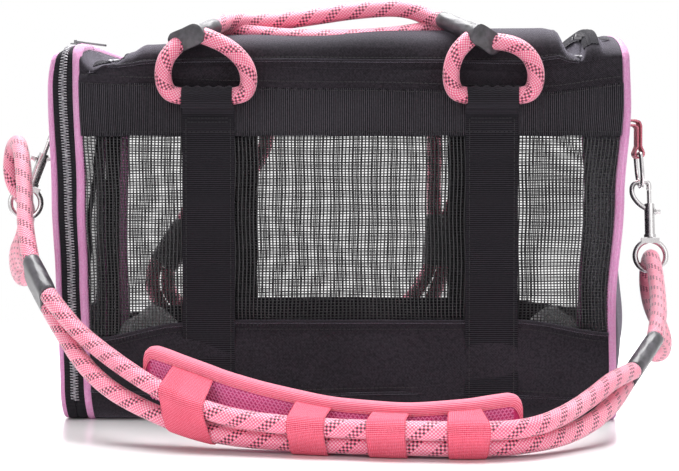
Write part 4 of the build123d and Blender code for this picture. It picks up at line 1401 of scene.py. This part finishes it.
pad_stations = [((-149.5, -267.5), 69), ((-128, -283), 64), ((-95, -299.5), 54.5), ((-62, -309), 46),
                ((-15, -321), 37), ((38, -331.5), 34), ((88, -336), 38.5), ((121, -322), 41.5)]
pad_height, binding_width = 0.037, 0.0080


def pad_run(count):
    """Middle line of the strands under the pad, its headings and the pad's top edge, read evenly."""
    places = np.array([(*p, h) for p, h in pad_stations], float) / 1000
    keys = np.arange(len(places))
    at = np.linspace(0, len(places) - 1, count)
    # even out the corners between the stations
    fine = np.stack([np.interp(at, keys, places[:, k]) for k in range(3)], -1)
    for _ in range(int(count * 0.5)):
        fine[1:-1] = fine[1:-1] * 0.5 + (fine[:-2] + fine[2:]) * 0.25
    line = fine[:, :2]
    t = np.gradient(line, axis=0)
    t /= np.linalg.norm(t, axis=1, keepdims=True)
    aside = np.stack([-t[:, 1], t[:, 0]], -1)
    return line, aside, fine[:, 2]


count = 300
pad_line, pad_aside, pad_top = pad_run(count)
pad_s = lengths(pad_line)
front_gap, pad_thick = rope_radius + 0.0048, 0.0085


def end_round(s, total, radius):
    """0..1: how much of the full height is left near the rounded ends."""
    d = np.minimum(s, total - s) / radius
    return np.sqrt(np.clip(1 - (1 - np.clip(d, 0, 1)) ** 2, 0.0, 1))


def pad_section(around):
    """Rounded, slightly pillowed section of the pad: (behind, height) for around points."""
    out = []
    for j in range(around):
        a = 2 * pi * j / around
        c, s = math.cos(a), math.sin(a)
        out.append((0.5 - 0.5 * np.sign(c) * abs(c) ** 0.55, 0.5 + 0.5 * np.sign(s) * abs(s) ** 0.35))
    return np.array(out)


section = pad_section(48)
rows = []
for i in range(count):
    near = end_round(pad_s[i], pad_s[-1], 0.012)
    top, bottom = pad_top[i] - 0.0012, max(pad_top[i] - pad_height, 0.0012)
    mid, half = (top + bottom) / 2, (top - bottom) / 2 * (0.35 + 0.65 * near)
    depth = pad_thick * (0.45 + 0.55 * near)
    row = []
    for behind, up in section:
        base = pad_line[i] + pad_aside[i] * (front_gap + (pad_thick - depth) / 2 + behind * depth)
        row.append((*base, mid + (up - 0.5) * 2 * half))
    rows.append(row)
pad = np.array(rows)
pad_points = np.concatenate([pad, pad[:, :1]], 1)
n, m, _ = pad_points.shape
uv = np.stack([np.repeat(pad_s, m), np.tile(np.linspace(0, 0.1, m), n)], -1)
verts = pad_points.reshape(-1, 3)
faces = grid_faces(n, m).tolist()
faces.append(list(range(m - 1))[::-1])
faces.append([(n - 1) * m + j for j in range(m - 1)])
# the core's darker pink is painted shade, seen through the holes of the net
obj = link("pad_air_mesh", verts, faces, shaded_air_core, uv)
weld(obj)
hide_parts("strap_pad")
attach(obj, "carrier")


def air_net(name, start, end, out_sign):
    """Knitted face of the pad: crossing yarns that leave oval holes."""
    parts = []
    pitch_u, pitch_v = 0.0030, 0.0042
    base = front_gap + 0.0001 if out_sign < 0 else front_gap + pad_thick
    rows_v = np.arange(0.002, pad_height - binding_width - 0.001, pitch_v / 2)
    for r, height in enumerate(rows_v):
        s = np.arange(start, end, 0.00075)
        shift = (r % 2) * pitch_u / 2
        swing = np.sin((s + shift) * 2 * pi / pitch_u)
        wave = 0.00082 * np.sign(swing) * np.abs(swing) ** 0.7
        x, y = read_run(pad_line, s).T
        ax, ay = read_run(pad_line, s, pad_aside).T
        top = np.interp(s, pad_s, pad_top)
        foot = np.maximum(top - pad_height, 0.0012)
        z = foot + height * (top - binding_width - foot) / (pad_height - binding_width) + wave
        back = base + out_sign * 0.0002
        line = np.stack([x + ax * back, y + ay * back, z], -1)
        normal = np.stack([ax * out_sign, ay * out_sign, np.zeros_like(ax)], -1)
        parts.append(ribbon_part(line, normal, 0.00085, 0.0007))
    place(joined(name, parts, air_mesh), "carrier", "orchid_air_mesh")


air_net("pad_net_front", 0.006, pad_s[-1] - 0.006, -1)
air_net("pad_net_back", 0.006, pad_s[-1] - 0.006, 1)

# binding folded over the pad's top edge and down round its ends
around = 22
rows = []
for i in range(count):
    near = end_round(pad_s[i], pad_s[-1], 0.010)
    drop = binding_width + (1 - near) * (0.6 * pad_height - binding_width)
    crown = pad_top[i] - (1 - near) * 0.007
    row = []
    for j in range(around):
        t = j / (around - 1)
        # front leg, fold over the top, back leg
        if t < 0.38:
            k = t / 0.38
            behind, up = -0.0011 - 0.0003 * math.sin(k * pi), crown - drop + k * (drop - 0.003)
        elif t > 0.62:
            k = (1 - t) / 0.38
            behind, up = pad_thick + 0.0011 + 0.0003 * math.sin(k * pi), crown - drop + k * (drop - 0.003)
        else:
            a = pi * (t - 0.38) / 0.24
            behind = pad_thick / 2 - (pad_thick / 2 + 0.0011) * math.cos(a)
            up = crown - 0.003 + 0.0038 * math.sin(a)
        base = pad_line[i] + pad_aside[i] * (front_gap + behind)
        row.append((*base, up))
    rows.append(row)
binding = np.array(rows)
obj = sheet("pad_binding_fold", binding, 0.0011, salmon_binding)
place(obj, "carrier", "salmon_elastic", "pad_binding")
for k, (j, lift) in enumerate(((2, -1), (around - 3, 1))):
    line = binding[6:-6, j]
    normal = np.c_[pad_aside[6:-6] * lift, np.zeros(count - 12)]
    stitches(f"pad_binding_stitch_{k}", line + normal * 0.0002, normal, thread_pink, "carrier", pitch=0.003,
             size=0.0021)


def hull(points):
    """Convex hull of 2-D points, anticlockwise."""
    points = sorted(map(tuple, points))

    def half(run):
        out = []
        for p in run:
            while len(out) > 1 and ((out[-1][0] - out[-2][0]) * (p[1] - out[-2][1])
                                    - (out[-1][1] - out[-2][1]) * (p[0] - out[-2][0])) <= 0:
                out.pop()
            out.append(p)
        return out[:-1]

    return half(points) + half(points[::-1])


def band_profile(at, count=72):
    """Run of a band in the upright plane at a length of the pad: down its front and up its back."""
    base = read_run(pad_line, at)
    aside = read_run(pad_line, at, pad_aside)
    ahead = np.array([aside[1], -aside[0]])
    top = np.interp(at, pad_s, pad_top) - binding_width + 0.001
    foot = max(np.interp(at, pad_s, pad_top) - pad_height, 0.0016)
    cloud = [(front_gap + 0.0004, top), (front_gap + pad_thick + 0.0004, top),
             (front_gap + pad_thick + 0.0003, foot + 0.004), (front_gap + pad_thick - 0.002, foot)]
    for name in ("strand_upper", "strand_lower"):
        line = strap_lines[name]
        away = line[:, :2] - base
        near = line[np.argmin(np.abs(away @ ahead) + 0.02 * np.abs(away @ aside))]
        centre = np.array([(near[:2] - base) @ aside, near[2]])
        for angle in np.linspace(0, 2 * pi, 40):
            spoke = np.array([math.cos(angle), math.sin(angle)])
            cloud.append(tuple(centre + (rope_radius + 0.0002) * spoke))
    run = np.array(hull(cloud))
    first = int(np.argmin(np.abs(run - np.array(cloud[0])).sum(1)))
    run = np.roll(run, -first, 0)
    return base, aside, read_run(run, np.linspace(0, lengths(run)[-1], count))


def band_piece(name, s0, s1, tilt):
    """Ribbed elastic drawn tight round the pad and both strands."""
    ribs = max(int(round((s1 - s0) / 0.00125)), 4)
    nu = ribs * 4 + 1
    rows = []
    for i, at in enumerate(np.linspace(s0, s1, nu)):
        base, aside, path = band_profile(at)
        ahead = np.array([aside[1], -aside[0]])
        middle = path[:, 1].mean()
        shift = (path[:, 1] - middle) * tilt
        turn = np.gradient(path, axis=0)
        turn /= np.linalg.norm(turn, axis=1, keepdims=True)
        out = np.stack([turn[:, 1], -turn[:, 0]], -1)
        rib = 0.0007 + 0.00022 * math.cos(2 * pi * ribs * i / (nu - 1))
        path = path + out * rib
        plan = base + aside * path[:, :1] + ahead * shift[:, None]
        rows.append(np.c_[plan, np.maximum(path[:, 1], 0.0005)])
    obj = sheet(name, np.array(rows), 0.0007, salmon_elastic)
    return place(obj, "carrier", "salmon_elastic")


spans = [(0.0310, 0.0650, -0.12), (0.1225, 0.1478, 0.0), (0.1759, 0.2014, 0.0), (0.2284, 0.2536, -0.03)]
for k, (s0, s1, tilt) in enumerate(spans):
    obj = band_piece(f"elastic_band_{k + 1}", s0, s1, tilt)
    if k == 0:
        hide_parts("elastic_bands")

# ------------------------------------------------------------------ cabin: fleece pad, board, tether


def cloth_cushion(name, node, mat, body, slot_name, inset=0.004, pressure=3.0, cap=0.006, curl=0.041):
    """Pad cut slightly small from its node's box, puffed by a short cloth simulation, ends curled up."""
    lo, hi = low(node) + inset, high(node) - inset
    bm = bmesh.new()
    bmesh.ops.create_cube(bm, size=1.0)
    bmesh.ops.scale(bm, vec=(hi - lo), verts=bm.verts)
    bmesh.ops.translate(bm, vec=(hi + lo) / 2, verts=bm.verts)
    bmesh.ops.bevel(bm, geom=bm.edges[:], offset=0.008, segments=3, affect="EDGES")
    mesh = bpy.data.meshes.new(name)
    bm.to_mesh(mesh)
    bm.free()
    obj = bpy.data.objects.new(name, mesh)
    scene.collection.objects.link(obj)
    remesh = obj.modifiers.new("remesh", "REMESH")
    remesh.mode = "VOXEL"
    remesh.voxel_size = 0.0075
    dg = bpy.context.evaluated_depsgraph_get()
    obj.data = bpy.data.meshes.new_from_object(obj.evaluated_get(dg))
    obj.modifiers.clear()
    start = np.array([v.co for v in obj.data.vertices])
    sim = obj.modifiers.new("cloth", "CLOTH")
    sim.settings.quality = 4
    sim.settings.use_pressure = True
    sim.settings.uniform_pressure_force = pressure
    sim.settings.effector_weights.gravity = 0
    sim.settings.tension_stiffness = 8
    for step in range(1, 15):
        scene.frame_set(step)
    dg = bpy.context.evaluated_depsgraph_get()
    moved = np.array([v.co for v in obj.evaluated_get(dg).data.vertices])
    obj.modifiers.clear()
    scene.frame_set(1)
    shift = moved - start
    size = np.linalg.norm(shift, axis=1, keepdims=True)
    shift *= np.minimum(1, cap / np.maximum(size, 1e-9))
    start = start + shift
    start[:, 2] += 0.0012 * crumple(start, 0.05, 3) * (start[:, 2] > lo[2] + 0.01)
    start[:, 2] += curl * table(np.abs(start[:, 0]), [(0.66 * hi[0], 0), (0.96 * hi[0], 1)])
    start[:, 2] = np.maximum(start[:, 2], low(node)[2] + 0.0005)
    obj.data.vertices.foreach_set("co", start.ravel())
    obj.data.update()
    sub = obj.modifiers.new("smooth", "SUBSURF")
    sub.levels = sub.render_levels = 1
    dg = bpy.context.evaluated_depsgraph_get()
    obj.data = bpy.data.meshes.new_from_object(obj.evaluated_get(dg))
    obj.modifiers.clear()
    obj.data.materials.clear()
    obj.data.materials.append(mat)
    obj.data.polygons.foreach_set("use_smooth", [True] * len(obj.data.polygons))
    place(obj, body, slot_name, node)


cloth_cushion("floor_fleece", "fleece_pad", fleece, "carrier", "grey_fleece")
finish_node("base_board", board_plastic)

tether_x = (low("safety_tether")[0] + high("safety_tether")[0]) / 2
tether_points = [(tether_x * 1000, -48, 285), (tether_x * 1000, -58, 217), (tether_x * 1000, -129.5, 150),
                 (tether_x * 1000, -129.8, 38)]
line = resample(nurbs(tether_points), 0.003)
wave = 0.0006 * np.sin(lengths(line) * 120)
line[:, 0] += wave
verts, faces, uv = ribbon_part(line, np.tile([-1.0, 0, 0], (len(line), 1)), 0.013, 0.0013)
obj = link("tether_webbing", verts, faces, tether_web, uv, smooth=False)
place(obj, "carrier", "black_webbing", "safety_tether")

# ------------------------------------------------------------------ webbing tabs of the end rings


def tab_piece(name, run, half_width, body, node, thick=0.0021):
    """Webbing folded round a ring: run is (x, z) of its outer face."""
    run = np.array(run, float)
    at = np.arange(0, lengths(run)[-1], 0.0006)
    x, z = read_run(run, at).T
    y = np.linspace(-half_width, half_width, 16)
    rib = 0.00012 * np.sin(at * 2 * pi / 0.0013)
    points = np.stack([np.tile(x + rib, (16, 1)), np.tile(y[:, None], (1, len(at))), np.tile(z, (16, 1))], -1)
    obj = sheet(name, points, thick, coral_tab)
    place(obj, body, "coral_webbing", node)


bore = 0.0021
tab_x = high("ring_tab_right")[0] - bore - 0.002
crest_z = high("ring_tab_right")[2] - 0.0002
tab_y = 0.0105


def hairpin(x, z, top_front, top_back, radius):
    """Strip that comes down outside a ring's bar, turns under it and goes up again: (x, z) of its middle."""
    angles = np.radians(np.linspace(20, -200, 16))
    turn = [(x + radius * math.cos(a), z + radius * math.sin(a)) for a in angles]
    return [(x + 0.0007, top_front), (x + 0.0007, z + 0.006)] + turn + [(x - 0.0007, z + 0.006),
                                                                       (x - 0.0007, top_back)]


ring_bar = low("ring_tab_right")[2] + bore + 0.002
run = [(right_end + 0.003, crest_z - 0.0010), (tab_x - 0.0035, crest_z - 0.0008),
       (tab_x - 0.0005, crest_z - 0.0018)]
run += hairpin(tab_x, ring_bar, crest_z - 0.0050, crest_z - 0.0060, bore + 0.0009)
run += [(tab_x - 0.0030, crest_z - 0.0036), (right_end + 0.003, crest_z - 0.0030)]
tab_piece("tab_right_fold", run, tab_y, "carrier", "ring_tab_right", 0.0013)

left_face = high("ring_tab_left")[0]
ring_bar = low("ring_tab_left")[2] + bore + 0.002
tab_top = high("ring_tab_left")[2]
x = low("ring_tab_left")[0] + bore + 0.002
run = [(left_face - 0.0030, tab_top - 0.001), (left_face - 0.0032, ring_bar + 0.008)]
run += [(x + (bore + 0.0009) * math.cos(a), ring_bar + (bore + 0.0009) * math.sin(a))
        for a in np.radians(np.linspace(150, 372, 16))]
run += [(left_face - 0.0006, ring_bar + 0.006), (left_face - 0.0006, tab_top - 0.001)]
tab_piece("tab_left_fold", run, tab_y, "end_door", "ring_tab_left", 0.0013)

# ------------------------------------------------------------------ slump of the two ends


def smooth(value):
    value = np.clip(value, 0, 1)
    return value * value * (3 - 2 * value)


def settle(points):
    """Both ends draw in at the front below the band, and the right one bellies out at the rear."""
    x, y, z = points[:, 0], points[:, 1], points[:, 2]
    front, rear = smooth((-y - 0.03) / 0.09), smooth((y - 0.05) / 0.08)
    right, left = smooth((x - 0.135) / (right_end - 0.135)), smooth((x + 0.135) / (left_end + 0.135))
    drawn_right = table(z, [(0, .0080), (.038, .0090), (.093, .0102), (.170, .0052), (.245, -.0008),
                            (.285, 0)])
    drawn_left = table(z, [(0, .0100), (.025, .0082), (.070, .0072), (.110, .0062), (.170, .0040), (.258, 0)])
    belly = table(z, [(.040, 0), (.090, .0012), (.180, .0050), (.225, .0032), (.262, 0)])
    points[:, 0] += left * front * drawn_left - right * front * drawn_right + right * rear * belly
    return points


shell = ("front_", "rear_", "underside", "piping_", "right_end_cloth", "gusset_", "door_", "top_strip_",
         "floor_fleece")
for obj in scene.objects:
    built_here = obj.type == "MESH" and obj.name not in frame["nodes"]
    if built_here and obj.name.startswith(shell) and "handle" not in obj.name:
        points = np.empty(len(obj.data.vertices) * 3)
        obj.data.vertices.foreach_get("co", points)
        obj.data.vertices.foreach_set("co", settle(points.reshape(-1, 3)).ravel())
        obj.data.update()

# ------------------------------------------------------------------ metal parts keep their CAD shape

for kind in ("end_ring", "snap_hook", "hook_bolt", "swivel_eye"):
    finish_node(f"{kind}_right", nickel)
    finish_node(f"{kind}_left", nickel)
for kind in ("slider", "pull"):
    finish_node(f"door_zip_{kind}", gunmetal)
    finish_node(f"top_zip_{kind}", gunmetal)
